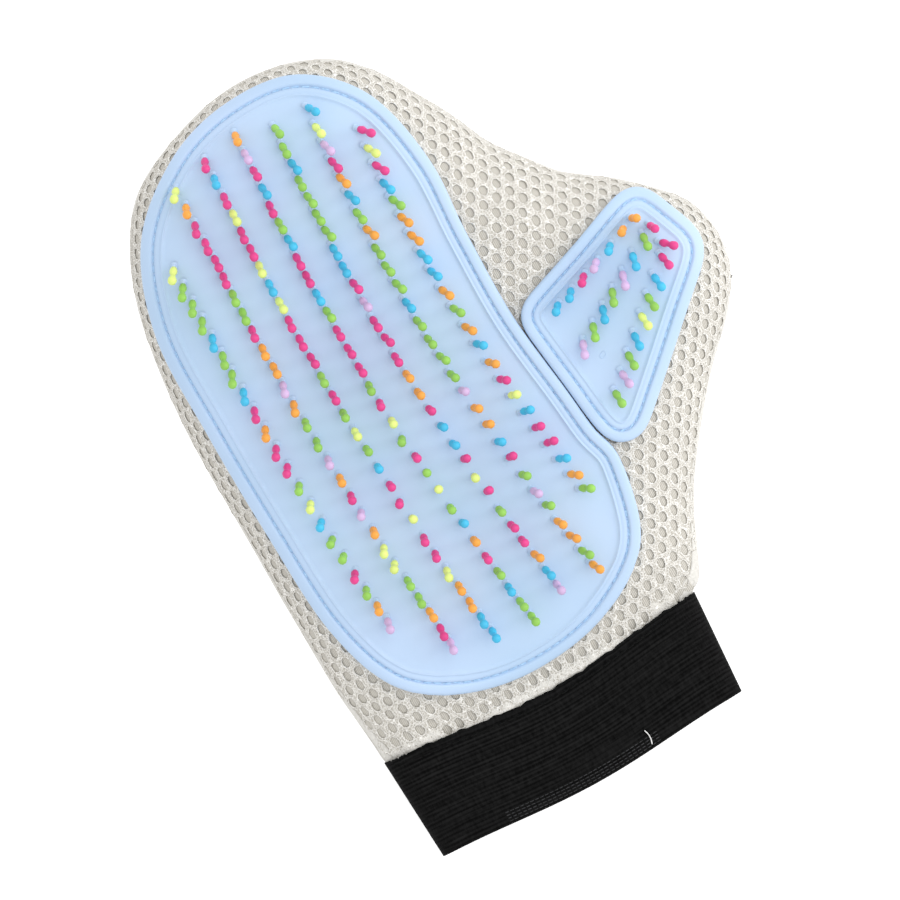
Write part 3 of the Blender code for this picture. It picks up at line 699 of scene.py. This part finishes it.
# Knitted textured polyester in natural white: fine bright yarns wander along each hole's edge and
# loop over one another between the holes; the greyer ground between them, with its darker flecks,
# is painted shade among the loops.
mesh_yarn, tree, shader = principled("knitted polyester net")
cut = add(tree, "UVMap", uv_map="cut")
rim = add(tree, "Attribute", attribute_name="rim")
wander = add(tree, "TexNoise", {"Vector": cut.outputs[0], "Scale": 0.75, "Detail": 2.0})
stray = add(tree, "MapRange", {"Value": wander.outputs["Fac"], "From Min": 0.2, "From Max": 0.8,
                               "To Min": -0.35, "To Max": 0.35})
across = add(tree, "Math", {0: rim.outputs["Fac"], 1: stray.outputs[0]}, operation="ADD")
shares = ((0.0, 0.45), (0.92, 0.0), (0.12, 0.1), (0.34, 0.0), (0.58, 0.1), (0.7, 1.0), (0.82, 0.9))
course = add(tree, "ValToRGB", {"Fac": across.outputs[0]},
             stops=[(at, (share, share, share, 1.0)) for at, share in shares])
bent = add(tree, "Mix", {"Factor": 0.35, 4: cut.outputs[0], 5: wander.outputs["Color"]},
           data_type="VECTOR")
loops = add(tree, "TexVoronoi", {"Vector": bent.outputs[1], "Scale": 1.5}, feature="DISTANCE_TO_EDGE")
looped = add(tree, "MapRange", {"Value": loops.outputs["Distance"], "From Min": 0.02,
                                "From Max": 0.11, "To Min": 0.9, "To Max": 0.0})
yarn = add(tree, "Math", {0: course.outputs["Color"], 1: looped.outputs[0]}, operation="MAXIMUM")
# Painted shade: the ground between the yarns is greyer than the yarn, darkest in small flecks.
gaps = add(tree, "TexNoise", {"Vector": cut.outputs[0], "Scale": 2.6, "Detail": 2.0})
shaded_ground = add(tree, "ValToRGB", {"Fac": gaps.outputs["Fac"]},
             stops=[(0.34, linear("#8D887E")), (0.62, linear("#C7C3BA")), (0.46, linear("#BAB5AB"))])
colour = add(tree, "Mix", {"Factor": yarn.outputs[0], 6: shaded_ground.outputs["Color"],
                           7: linear("#FAF8F3")}, data_type="RGBA")
bump = add(tree, "Bump", {"Strength": 0.7, "Distance": 0.2 * MM, "Height": yarn.outputs[0]})
wire(tree, shader, {"Base Color": colour.outputs[2], "Normal": bump.outputs[0], "Roughness": 0.85,
                    "Specular IOR Level": 0.25})

# The close inner face seen through the holes: painted greyer than the net, as shade inside the holes,
# with the standing yarns as fine lines.
inner_yarn, tree, shader = principled("close knitted polyester")
cut = add(tree, "UVMap", uv_map="cut")
lines = add(tree, "TexWave", {"Vector": cut.outputs[0], "Scale": 0.55, "Distortion": 1.2,
                              "Detail": 2.0, "Detail Scale": 2.0}, bands_direction="X")
# Painted shade: these colours are darker than the net's, for the shade that falls within the holes.
shade = add(tree, "ValToRGB", {"Fac": lines.outputs["Fac"]},
            stops=[(0.0, linear("#ACA89F")), (1.0, linear("#D9D5CC"))])
bump = add(tree, "Bump", {"Strength": 0.5, "Distance": 0.2 * MM, "Height": lines.outputs["Fac"]})
wire(tree, shader, {"Base Color": shade.outputs["Color"], "Normal": bump.outputs[0],
                    "Roughness": 0.9})

# The same cloth pressed shut beside the seam: the cells are only a faint shading.
edge_yarn, tree, shader = principled("pressed polyester edge")
cut = add(tree, "UVMap", uv_map="cut")
loops = add(tree, "TexNoise", {"Vector": cut.outputs[0], "Scale": 0.9, "Detail": 4.0,
                               "Roughness": 0.75, "Distortion": 0.6})
shade = add(tree, "ValToRGB", {"Fac": loops.outputs["Fac"]},
            stops=[(0.3, linear("#C9C6BF")), (0.7, linear("#E6E4DF"))])
bump = add(tree, "Bump", {"Strength": 0.6, "Distance": 0.3 * MM, "Height": loops.outputs["Fac"]})
wire(tree, shader, {"Base Color": shade.outputs["Color"], "Normal": bump.outputs[0],
                    "Roughness": 0.88})

palm_pieces = [(net("palm_net", True), mesh_yarn), (close_face("palm_inner_face", True), inner_yarn),
               (turned_edge("palm_turned_edge", True), edge_yarn)]
back_pieces = [(net("back_net_hand", False, highest=0.0), mesh_yarn),
               (net("back_net_fingers", False, lowest=0.0), mesh_yarn),
               (close_face("back_inner_face", False), inner_yarn),
               (turned_edge("back_turned_edge", False), edge_yarn)]
for pieces, node in ((palm_pieces, "palm_mesh_panel"), (back_pieces, "back_mesh_panel")):
    for piece, material in pieces:
        piece.data.materials.append(material)
        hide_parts(node)
    line = cut_line(0.0, node.startswith("palm"), 400)

# --- The moulded pads ----------------------------------------------------------------------------
# Two soft silicone pads, one over the palm and fingers and one over the thumb, compression moulded
# with a round rim, a narrow crease for the stitches, a low band, a fine lip and a flat field.

STITCH_LINE = 3.55
CREASE_FLOOR = 1.9
FIELD_THICKNESS = 2.0
PAD_SECTION = [(0.0, 0.0), (0.0, 2.0), (0.1, 2.3), (0.3, 2.65), (0.65, 2.92), (1.1, 3.05), (1.8, 3.1),
               (2.7, 3.05), (3.1, 2.88), (3.28, 2.35), (3.36, CREASE_FLOOR), (3.74, CREASE_FLOOR),
               (3.82, 2.2), (4.05, 2.48), (5.1, 2.52), (5.4, 2.36), (5.7, 2.42), (5.9, 2.7),
               (6.15, 2.7), (6.4, 2.3), (6.9, 2.05), (7.4, FIELD_THICKNESS)]


def ring_inside(outline, distance):
    """The outline moved inwards, drawn straight where it would fold over itself at a tight corner."""
    ring = inset(outline, distance, True)
    clear = distance_to(joined_up(outline), ring) >= 0.98 * distance - 1e-6
    good = np.flatnonzero(clear & (is_inside(outline, ring) | (distance == 0.0)))
    every = np.arange(len(outline))
    return np.column_stack([np.interp(every, good, ring[good, k], period=len(every))
                            for k in range(2)])


def moulded_pad(name, outline):
    """A pad from its flat outline: a ring of grid cells for each step of its section, then filled."""
    count, steps = len(outline), len(PAD_SECTION) - 1
    rings = [ring_inside(outline, out) for out, _ in PAD_SECTION]
    bm = bmesh.new()
    bmesh.ops.create_grid(bm, x_segments=count, y_segments=steps, size=0.5)
    for vert in bm.verts:
        column, row = round((vert.co.x + 0.5) * count) % count, round((vert.co.y + 0.5) * steps)
        vert.co = (*rings[row][column], PAD_SECTION[row][1])
    bmesh.ops.remove_doubles(bm, verts=bm.verts, dist=1e-4)
    bmesh.ops.holes_fill(bm, edges=bm.edges, sides=0)
    for flat_face in [face for face in bm.faces if len(face.verts) > 4]:
        cut_to_grid(bm, flat_face, outline)
    verts = list(bm.verts)
    flat = np.array([v.co[:2] for v in verts])
    place, _ = palm_points(flat, np.array([GAP + v.co.z for v in verts]))
    for vert, point in zip(verts, place):
        vert.co = point
    bmesh.ops.recalc_face_normals(bm, faces=bm.faces)
    return finished(bm, name)


# Pale blue silicone rubber, satin, a little uneven in tint and very faintly pebbled by its mould.
pad_rubber, tree, shader = principled("pale blue silicone rubber")
where = add(tree, "TexCoord")
tint = add(tree, "TexNoise", {"Vector": where.outputs["Object"], "Scale": 22.0, "Detail": 2.0})
shade = add(tree, "ValToRGB", {"Fac": tint.outputs["Fac"]},
            stops=[(0.3, linear("#AFC8E3")), (0.7, linear("#B8CEEA"))])
pebble = add(tree, "TexNoise", {"Vector": where.outputs["Object"], "Scale": 900.0, "Detail": 2.0})
bump = add(tree, "Bump", {"Strength": 0.12, "Distance": 0.1 * MM, "Height": pebble.outputs["Fac"]})
wire(tree, shader, {"Base Color": shade.outputs["Color"], "Normal": bump.outputs[0],
                    "Roughness": 0.5, "Specular IOR Level": 0.35})

for name, outline in PADS.items():
    piece = moulded_pad(name + "_rubber", outline)
    piece.data.materials.append(pad_rubber)
    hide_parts(name)

# The mould left a faint oval ring on the thumb pad.
MARK_PLACE = (37.0, -6.6)
MARK_RADIUS = 1.15
MARK_BEAD_RADIUS = 0.16
MARK_SQUASH = 0.65
MARK_TURN = 29.0

spot, up = palm_points(np.array([MARK_PLACE]), GAP + FIELD_THICKNESS)
bm = bmesh.new()
bmesh.ops.create_circle(bm, segments=8, radius=MARK_BEAD_RADIUS,
                        matrix=Matrix.Translation((MARK_RADIUS, 0.0, 0.0))
                        @ Matrix.Rotation(math.pi / 2, 4, "X"))
bmesh.ops.spin(bm, geom=bm.verts[:] + bm.edges[:], cent=(0, 0, 0), axis=(0, 0, 1),
               angle=2 * math.pi, steps=24, use_merge=True)
bmesh.ops.scale(bm, vec=(1.0, MARK_SQUASH, 1.0), verts=bm.verts)
bmesh.ops.recalc_face_normals(bm, faces=bm.faces)
lying = Vector(up[0]).to_track_quat("Z", "Y").to_matrix().to_4x4()
bmesh.ops.transform(bm, matrix=Matrix.Translation(spot[0]) @ lying
                    @ Matrix.Rotation(math.radians(MARK_TURN), 4, "Z"), verts=bm.verts)
mark = finished(bm, "thumb_pad_mould_mark")
mark.data.materials.append(pad_rubber)
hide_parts("thumb_pad")

# --- The pins ------------------------------------------------------------------------------------
# Soft round pins moulded in one with the pads: a pale stem, a bead low down, a slim neck and a ball
# end. From just under the bead they are coloured, in six colours that mix. All have taken a set.

PIN_PITCH = 6.15
PITCH_SPREAD = 0.10
COLUMN_SPACING = 11.19
COLUMN_SHIFT = -4.1
PALM_COLUMN_ENDS = [(0.665, -0.366), (0.830, -0.486), (0.861, -0.513), (0.881, -0.528),
                    (0.852, -0.489), (0.853, -0.491), (0.746, -0.316)]
COLUMN_APEX = 0.426
FIRST_COLUMN_BOW = 4.5e-4
BOW_STEP = 0.88e-4
PALM_PIN_SET = 0.85
HEEL_PIN_SET = 0.37
SIDE_PIN_SET = 0.24
PIN_SPLAY = 0.19
SPLAY_FROM = -0.424
SPLAY_REACH = 0.458
THUMB_COLUMNS = [((0.702, 0.199), (0.378, 0.118), 6, (-0.42, -0.37)),
                 ((0.747, 0.167), (0.390, 0.009), 7, (-0.40, -1.12)),
                 ((0.766, 0.103), (0.397, -0.141), 8, (0.04, -1.12))]
THUMB_TIP_PINS = [((0.733, 0.210), (-0.05, -0.35)), ((0.779, 0.175), (-0.05, -0.60)),
                  ((0.781, 0.127), (0.50, -0.90))]
PIN_STEM = [(1.25, -0.15), (1.0, 0.15), (0.92, 0.6), (0.92, 1.9), (0.0, 1.9)]
PIN_TIP = [(0.0, 1.6), (0.98, 1.6), (1.12, 2.1), (1.27, 2.8), (1.22, 3.5), (0.92, 4.3), (0.8, 4.9),
           (0.98, 5.6), (1.34, 6.4), (1.45, 7.15), (1.24, 7.95), (0.7, 8.45), (0.0, 8.6)]
PIN_SIDES = 9
PIN_WOBBLE = (0.07, 0.06)
PALM_COLOURS = ["YGGGBGGBPOPPGYBGGPGOL", "YOPPPPGGPOOLOGGLOPLOYYGGOPL", "PBPYPPYBYPPPGPGYGBPPYPPYOOBB",
                "OLPBPGBPPBGPPPGPYGPGYGBOPGBGG", "GGBGGGGBBPLPPPOOPBBPYPGPPOBL",
                "BYLPOBGOGGGBGGGGLOOBPGLGOOGO", "PYPBGOOBBOGOBOPYBPPBOG"]
THUMB_COLOURS = ["OOBLPBB", "PGBLGBGL", "PPBGYBGLG"]
TIP_COLOURS = {"P": ("pink", "#DC4088"), "B": ("blue", "#42B7DF"), "G": ("green", "#8FC556"),
               "O": ("orange", "#EEA143"), "Y": ("yellow", "#DBEC82"), "L": ("lavender", "#CEB0D8")}


def palm_pin_set(x, y):
    """How far the soft palm pins have set from the pad's normal: outwards, and towards the cuff."""
    to_fingers = smoothstep(-0.25 * HALF_LENGTH, 0.55 * HALF_LENGTH, y)
    to_heel = 1.0 - smoothstep(-0.5 * HALF_LENGTH, -0.12 * HALF_LENGTH, y)
    out = (x / HALF_WIDTH - SPLAY_FROM) / SPLAY_REACH
    to_side = 1.0 - smoothstep(-0.66 * HALF_WIDTH, -0.25 * HALF_WIDTH, x)
    along = (PALM_PIN_SET * to_fingers + HEEL_PIN_SET * to_heel
             + SIDE_PIN_SET * to_side * (1.0 - to_fingers))
    return PIN_SPLAY * (out + out ** 3), -along


def palm_pins():
    """Root, set and colour of the pins in the palm's seven bowed columns."""
    across = (PALM_OUTLINE[:, 0].min() + PALM_OUTLINE[:, 0].max()) / 2 + COLUMN_SHIFT
    pins = []
    for column, (start, end) in enumerate(PALM_COLUMN_ENDS):
        x = across + (column - (len(PALM_COLUMN_ENDS) - 1) / 2) * COLUMN_SPACING
        bow = FIRST_COLUMN_BOW + BOW_STEP * column
        length = (start - end) * HALF_LENGTH
        count = round(length / PIN_PITCH) + 1
        for k in range(count):
            share = k / (count - 1)
            share -= PITCH_SPREAD * math.sin(2 * math.pi * share) / (2 * math.pi)
            y = start * HALF_LENGTH - length * share
            root = (x + bow * (y - COLUMN_APEX * HALF_LENGTH) ** 2, y)
            pins.append((root, palm_pin_set(*root), PALM_COLOURS[column][k]))
    return pins


def thumb_pins():
    """Root, set and colour of the pins in the thumb's three columns, which fan out from its tip."""
    pins = []
    for (tip, tip_lean), (start, end, count, lean), colours in zip(THUMB_TIP_PINS, THUMB_COLUMNS,
                                                                   THUMB_COLOURS):
        first, last, at_tip = graded([start, end, tip])
        pins.append((at_tip, tip_lean, colours[0]))
        for k in range(count):
            pins.append((first + (last - first) * k / (count - 1), lean, colours[k + 1]))
    return pins


def turned_shape(name, section):
    """A round shape turned about Z from its section of radii and heights."""
    bm = bmesh.new()
    line = [bm.verts.new((radius, 0.0, height)) for radius, height in section]
    edges = [bm.edges.new(pair) for pair in zip(line, line[1:])]
    bmesh.ops.spin(bm, geom=line + edges, cent=(0, 0, 0), axis=(0, 0, 1), angle=2 * math.pi,
                   steps=PIN_SIDES, use_merge=True)
    bmesh.ops.remove_doubles(bm, verts=bm.verts, dist=1e-4)
    bmesh.ops.recalc_face_normals(bm, faces=bm.faces)
    mesh = bpy.data.meshes.new(name)
    bm.to_mesh(mesh)
    bm.free()
    return mesh


def set_out(name, shape, places):
    """One piece made of a shape repeated at each place, given as a matrix."""
    bm = bmesh.new()
    done = 0
    for place in places:
        bm.from_mesh(shape)
        bm.verts.ensure_lookup_table()
        bmesh.ops.transform(bm, matrix=place, verts=bm.verts[done:])
        done = len(bm.verts)
    return finished(bm, name)


def pin_places(pins, rng):
    """Where each pin stands and how it leans, none quite like the next."""
    feet, normals = palm_points(np.array([root for root, _, _ in pins]),
                                np.full(len(pins), GAP + FIELD_THICKNESS))
    places = []
    for foot, normal, (_, tilt, _) in zip(feet, normals, pins):
        lean = Vector(normal) + Vector((*tilt, 0.0))
        lean += Vector((*[rng.normal(0.0, wobble) for wobble in PIN_WOBBLE], 0.0))
        turn = lean.to_track_quat("Z", "Y").to_matrix().to_4x4()
        about = Matrix.Rotation(rng.uniform(0, 6.3), 4, "Z")
        places.append(Matrix.Translation(foot) @ turn @ about)
    return places


def tip_rubber(name, colour):
    """Coloured silicone rubber, satin and a little uneven in its depth of colour."""
    material, tree, shader = principled(name)
    where = add(tree, "TexCoord")
    tint = add(tree, "TexNoise", {"Vector": where.outputs["Object"], "Scale": 150.0, "Detail": 1.0})
    value = add(tree, "MapRange", {"Value": tint.outputs["Fac"], "From Min": 0.3, "From Max": 0.7,
                                   "To Min": 0.9, "To Max": 1.06})
    shade = add(tree, "HueSaturation", {"Value": value.outputs[0], "Color": linear(colour)})
    wire(tree, shader, {"Base Color": shade.outputs["Color"], "Roughness": 0.42,
                        "Specular IOR Level": 0.4})
    return material


rng = np.random.default_rng(7)
stem_shape = turned_shape("pin stem", PIN_STEM)
tip_shape = turned_shape("pin tip", PIN_TIP)
tip_rubbers = {key: (word, tip_rubber(word + " silicone rubber", colour))
               for key, (word, colour) in TIP_COLOURS.items()}
for name, pins in (("palm_pad", palm_pins()), ("thumb_pad", thumb_pins())):
    places = pin_places(pins, rng)
    stems = set_out(name + "_pin_stems", stem_shape, places)
    stems.data.materials.append(pad_rubber)
    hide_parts(name)
    for key, (word, material) in tip_rubbers.items():
        chosen = [place for place, (_, _, colour) in zip(places, pins) if colour == key]
        if chosen:
            tips = set_out(f"{name}_{word}_tips", tip_shape, chosen)
            tips.data.materials.append(material)
            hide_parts(name)

# --- The pad stitches ----------------------------------------------------------------------------
# A lockstitch in pale blue thread runs round each pad in its crease, three millimetres to a stitch,
# and sews the pad down through the mesh. Each stitch is a plump dash whose ends dive into the rubber.

STITCH_PITCH = 3.0
THREAD_RADIUS = 0.3
STITCH = [(0.0, -1.25), (0.55, -1.15), (0.9, -0.8), (1.0, -0.2), (1.0, 0.2), (0.9, 0.8), (0.55, 1.15),
          (0.0, 1.25)]


def stitch_places(line, height, pitch, closed, on=palm_points):
    """Places for stitches along a flat line at a height above the palm, lying along the line."""
    length = lengths_along(joined_up(line) if closed else line)[-1]
    ends = resampled(line, max(2, round(length / pitch)), closed)
    spots, ups = on(ends, np.full(len(ends), height))
    following = np.roll(spots, -1, axis=0)
    if not closed:
        following[-1] = 2 * spots[-1] - spots[-2]
    places = []
    for spot, up, after in zip(spots, ups, following):
        along = Vector(after - spot).normalized()
        side = along.cross(Vector(up)).normalized()
        turn = Matrix((side, along.cross(side), along)).transposed().to_4x4()
        places.append(Matrix.Translation(spot) @ turn)
    return places


stitch_shape = turned_shape("stitch", [(r * THREAD_RADIUS, z) for r, z in STITCH])


def thread_material(name, low, high):
    """Spun sewing thread, which shows as a fine uneven grain."""
    material, tree, shader = principled(name)
    where = add(tree, "TexCoord")
    grain = add(tree, "TexNoise", {"Vector": where.outputs["Object"], "Scale": 1400.0, "Detail": 2.0})
    shade = add(tree, "ValToRGB", {"Fac": grain.outputs["Fac"]},
                stops=[(0.35, linear(low)), (0.65, linear(high))])
    bump = add(tree, "Bump", {"Strength": 0.5, "Distance": 0.1 * MM, "Height": grain.outputs["Fac"]})
    wire(tree, shader, {"Base Color": shade.outputs["Color"], "Normal": bump.outputs[0],
                        "Roughness": 0.75, "Specular IOR Level": 0.15})
    return material


pad_thread = thread_material("pale blue sewing thread", "#9DC0E0", "#B9D8F2")
for name, outline in PADS.items():
    line = ring_inside(outline, STITCH_LINE)
    places = stitch_places(line, GAP + CREASE_FLOOR + 0.4 * THREAD_RADIUS, STITCH_PITCH, True)
    stitches = set_out(name + "_stitches", stitch_shape, places)
    stitches.data.materials.append(pad_thread)
    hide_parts(name + "_thread")

# --- The perimeter seam --------------------------------------------------------------------------
# The overlock that joins the two panels was sewn inside out, so its cream thread lies hidden in the
# mitten, along the turned edges. It keeps the shape that the frame brings.

seam_thread = thread_material("cream sewing thread", "#CFC9BA", "#EAE5D8")
overlock = bpy.data.objects["perimeter_seam_thread"]
overlock.data.materials.clear()
overlock.data.materials.append(seam_thread)

# --- The elastic cuff ----------------------------------------------------------------------------
# One loop of wide ribbed black elastic, stretched and sewn over the mitten's wrist. Its cords run
# round the wrist; its upper edge is drawn a little uneven by the stitches.

CUFF_GIRTH = 238.0
CORD_PITCH = 1.35
CORD_HEIGHT = 0.2
CUFF_AROUND = 340

# One wave of the wave texture that paints light and shade across the cords is this long at a scale of
# one.
PATTERN_WAVE = 0.3142

# The stitches draw the upper edge in and make it wave: size and count round the wrist of each wave.
DRAWN_IN = 0.55
DRAWN_REACH = 1.4
EDGE_WAVES = ((0.16, 31), (0.14, 67), (0.12, 103))


def cuff_height(share):
    """The cuff's height at a share of its length from its top."""
    return CUFF_HEIGHT + (MOUTH_HEIGHT - CUFF_HEIGHT) * share


def cuff_section(share, turns):
    """The cuff's flattened oval at a share of its length from its top, at shares of its girth."""
    width = CUFF_WIDTH + (MOUTH_WIDTH - CUFF_WIDTH) * share
    height = cuff_height(share)
    radius = height / 2
    straight = width - height
    quarter = np.floor(turns * 4) % 4
    in_quarter = [quarter == k for k in range(4)]
    part = turns * 4 % 1.0
    angle = part * math.pi
    x = np.select(in_quarter, [straight / 2 - straight * part, -straight / 2 - radius * np.sin(angle),
                               -straight / 2 + straight * part, straight / 2 + radius * np.sin(angle)])
    z = np.select(in_quarter, [2 * radius, radius + radius * np.cos(angle), 0 * part,
                               radius - radius * np.cos(angle)])
    return CUFF_CENTRE + x, z


def cuff_y(share, x):
    """Where the cuff lies at a share of its length, between its dipping top edge and its bowed hem."""
    top = cuff_edge(x)
    hem = -HALF_LENGTH + CUFF_HEM_BOW * (1.0 - (CUFF_TOP_Y - top) / CUFF_EDGE_DIP)
    return top + (hem - top) * share


def elastic_loop():
    """The cuff's outer face, rolled from a grid whose rows rise and fall as its cords, then backed."""
    rows = round(CUFF_LENGTH / CORD_PITCH * 2)
    bm = bmesh.new()
    bmesh.ops.create_grid(bm, x_segments=CUFF_AROUND, y_segments=rows, size=0.5)
    keep_cut(bm)
    verts = list(bm.verts)
    turns = np.array([v.co.x for v in verts]) + 0.5
    share = 0.5 - np.array([v.co.y for v in verts])
    row = np.round(share * rows)
    cord = np.where(row % 2 == 1, CORD_HEIGHT, 0.0) - CORD_HEIGHT
    x, z = cuff_section(share, turns % 1.0)
    half_height = cuff_height(share) / 2
    y = cuff_y(share, x)
    drawn = np.exp(-share * CUFF_LENGTH / DRAWN_REACH)
    y += drawn * sum(size * np.sin(turns * 2 * math.pi * waves + waves) for size, waves in EDGE_WAVES)
    cord -= DRAWN_IN * drawn
    z += (z - half_height) / half_height * cord
    for vert, place in zip(verts, np.column_stack([x, y, z])):
        vert.co = place
    bmesh.ops.remove_doubles(bm, verts=bm.verts, dist=0.01)
    bmesh.ops.recalc_face_normals(bm, faces=bm.faces)
    return thickened(finished(bm, "elastic_loop"), CUFF_THICKNESS - 2 * CORD_HEIGHT)


# Black polyester elastic, dull: fine streaks run along its cords. A painted highlight lies on the
# cords' backs, with painted shade between them.
black_elastic, tree, shader = principled("black ribbed elastic")
cut = add(tree, "UVMap", uv_map="cut")
stretch = add(tree, "Mapping", {"Vector": cut.outputs[0], "Scale": (CUFF_GIRTH, 9.0, 1.0)})
streak = add(tree, "TexNoise", {"Vector": stretch.outputs[0], "Scale": 1.2, "Detail": 3.0,
                                "Roughness": 0.7})
along = add(tree, "Mapping", {"Vector": cut.outputs[0], "Scale": (14.0, 60.0, 1.0)})
band = add(tree, "TexNoise", {"Vector": along.outputs[0], "Scale": 1.0, "Detail": 3.0})
# Painted light and shade: a lighter band on each cord's back and a darker one between cords.
cord_light_and_shade = add(tree, "TexWave", {"Vector": cut.outputs[0],
                              "Scale": PATTERN_WAVE * CUFF_LENGTH / CORD_PITCH,
                              "Distortion": 1.5, "Detail": 2.0, "Detail Scale": 3.0},
            bands_direction="Y")
woven = add(tree, "Math", {0: streak.outputs["Fac"], 1: band.outputs["Fac"]}, operation="ADD")
both = add(tree, "Math", {0: cord_light_and_shade.outputs["Fac"], 1: 0.3, 2: woven.outputs[0]},
           operation="MULTIPLY_ADD")
shared = add(tree, "Math", {0: both.outputs[0], 1: 0.5}, operation="MULTIPLY")
shade = add(tree, "ValToRGB", {"Fac": shared.outputs[0]},
            stops=[(0.45, linear("#060606")), (0.75, linear("#1D1D1D"))])
bump = add(tree, "Bump", {"Strength": 0.6, "Distance": 0.15 * MM, "Height": streak.outputs["Fac"]})
wire(tree, shader, {"Base Color": shade.outputs["Color"], "Normal": bump.outputs[0],
                    "Roughness": 0.85, "Specular IOR Level": 0.05})

cuff = elastic_loop()
cuff.data.materials.append(black_elastic)
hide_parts("elastic_cuff")

# --- The cuff's stitches -------------------------------------------------------------------------
# Black lockstitch holds the cuff to the mitten. Four close rows of small grey stitches run along the
# middle of the hem on the palm side, and one white thread end stands out of them.

SEAM_ROW = 3.0
SEAM_ROW_HALF = 45.0
HEM_ROWS = 4
HEM_ROW_PITCH = 1.0
HEM_MARGIN = 1.1
HEM_ROW_MIDDLE = -3.0
HEM_ROW_HALF = 26.0
HEM_STITCH_SIZE = 0.55
STITCH_LIFT = 0.05
TAIL_RADIUS = 0.18
TAIL_BEND = 6.0
TAIL_SWEEP = 0.85
TAIL_RISE = 0.17
TAIL_TURN = -0.42
TAIL_PLACE = (-7.8, CUFF_LENGTH - 1.4)


def cuff_points(points, height):
    """Points given by x and millimetres from the cuff's top, a height above its palm side."""
    x, share = points[:, 0], points[:, 1] / CUFF_LENGTH
    place = np.column_stack([x, cuff_y(share, x), cuff_height(share) + height])
    return place, np.tile((0.0, 0.0, 1.0), (len(points), 1))


black_thread = thread_material("black sewing thread", "#020202", "#0A0A0A")
grey_thread = thread_material("grey sewing thread", "#262627", "#3E3E40")
white_thread = thread_material("white sewing thread", "#D8D8D6", "#F6F6F4")
rows = [("cuff_seam_thread", SEAM_ROW, 0.0, SEAM_ROW_HALF, 1.0, black_thread, "cuff_thread")]
for row in range(HEM_ROWS):
    at = CUFF_LENGTH - HEM_MARGIN - row * HEM_ROW_PITCH
    rows.append((f"cuff_hem_thread_{row + 1}", at, HEM_ROW_MIDDLE, HEM_ROW_HALF, HEM_STITCH_SIZE,
                 grey_thread, "hem_thread"))
for name, at, aside, half, scale, material, slot in rows:
    across = CUFF_CENTRE + aside + np.linspace(-half, half, 60)
    line = np.column_stack([across, np.full(len(across), at)])
    places = stitch_places(line, STITCH_LIFT, STITCH_PITCH * scale, False, on=cuff_points)
    places = [place @ Matrix.Scale(scale, 4) for place in places]
    stitches = set_out(name + "_stitches", stitch_shape, places)
    stitches.data.materials.append(material)
    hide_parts(name)

bm = bmesh.new()
bmesh.ops.create_circle(bm, segments=6, radius=TAIL_RADIUS,
                        matrix=Matrix.Rotation(math.pi / 2, 4, "X"))
bmesh.ops.spin(bm, geom=bm.verts[:] + bm.edges[:], cent=(-TAIL_BEND, 0.0, 0.0), axis=(0, 0, 1),
               angle=TAIL_SWEEP, steps=9)
bmesh.ops.holes_fill(bm, edges=bm.edges, sides=0)
bmesh.ops.recalc_face_normals(bm, faces=bm.faces)
foot, _ = cuff_points(np.array([TAIL_PLACE]), STITCH_LIFT + 0.2)
lying = Matrix.Rotation(TAIL_RISE, 4, "X") @ Matrix.Rotation(TAIL_TURN, 4, "Z")
bmesh.ops.transform(bm, matrix=Matrix.Translation(foot[0]) @ lying, verts=bm.verts)
tail = finished(bm, "hem_thread_end")
tail.data.materials.append(white_thread)
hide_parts("cuff_hem_thread_1")
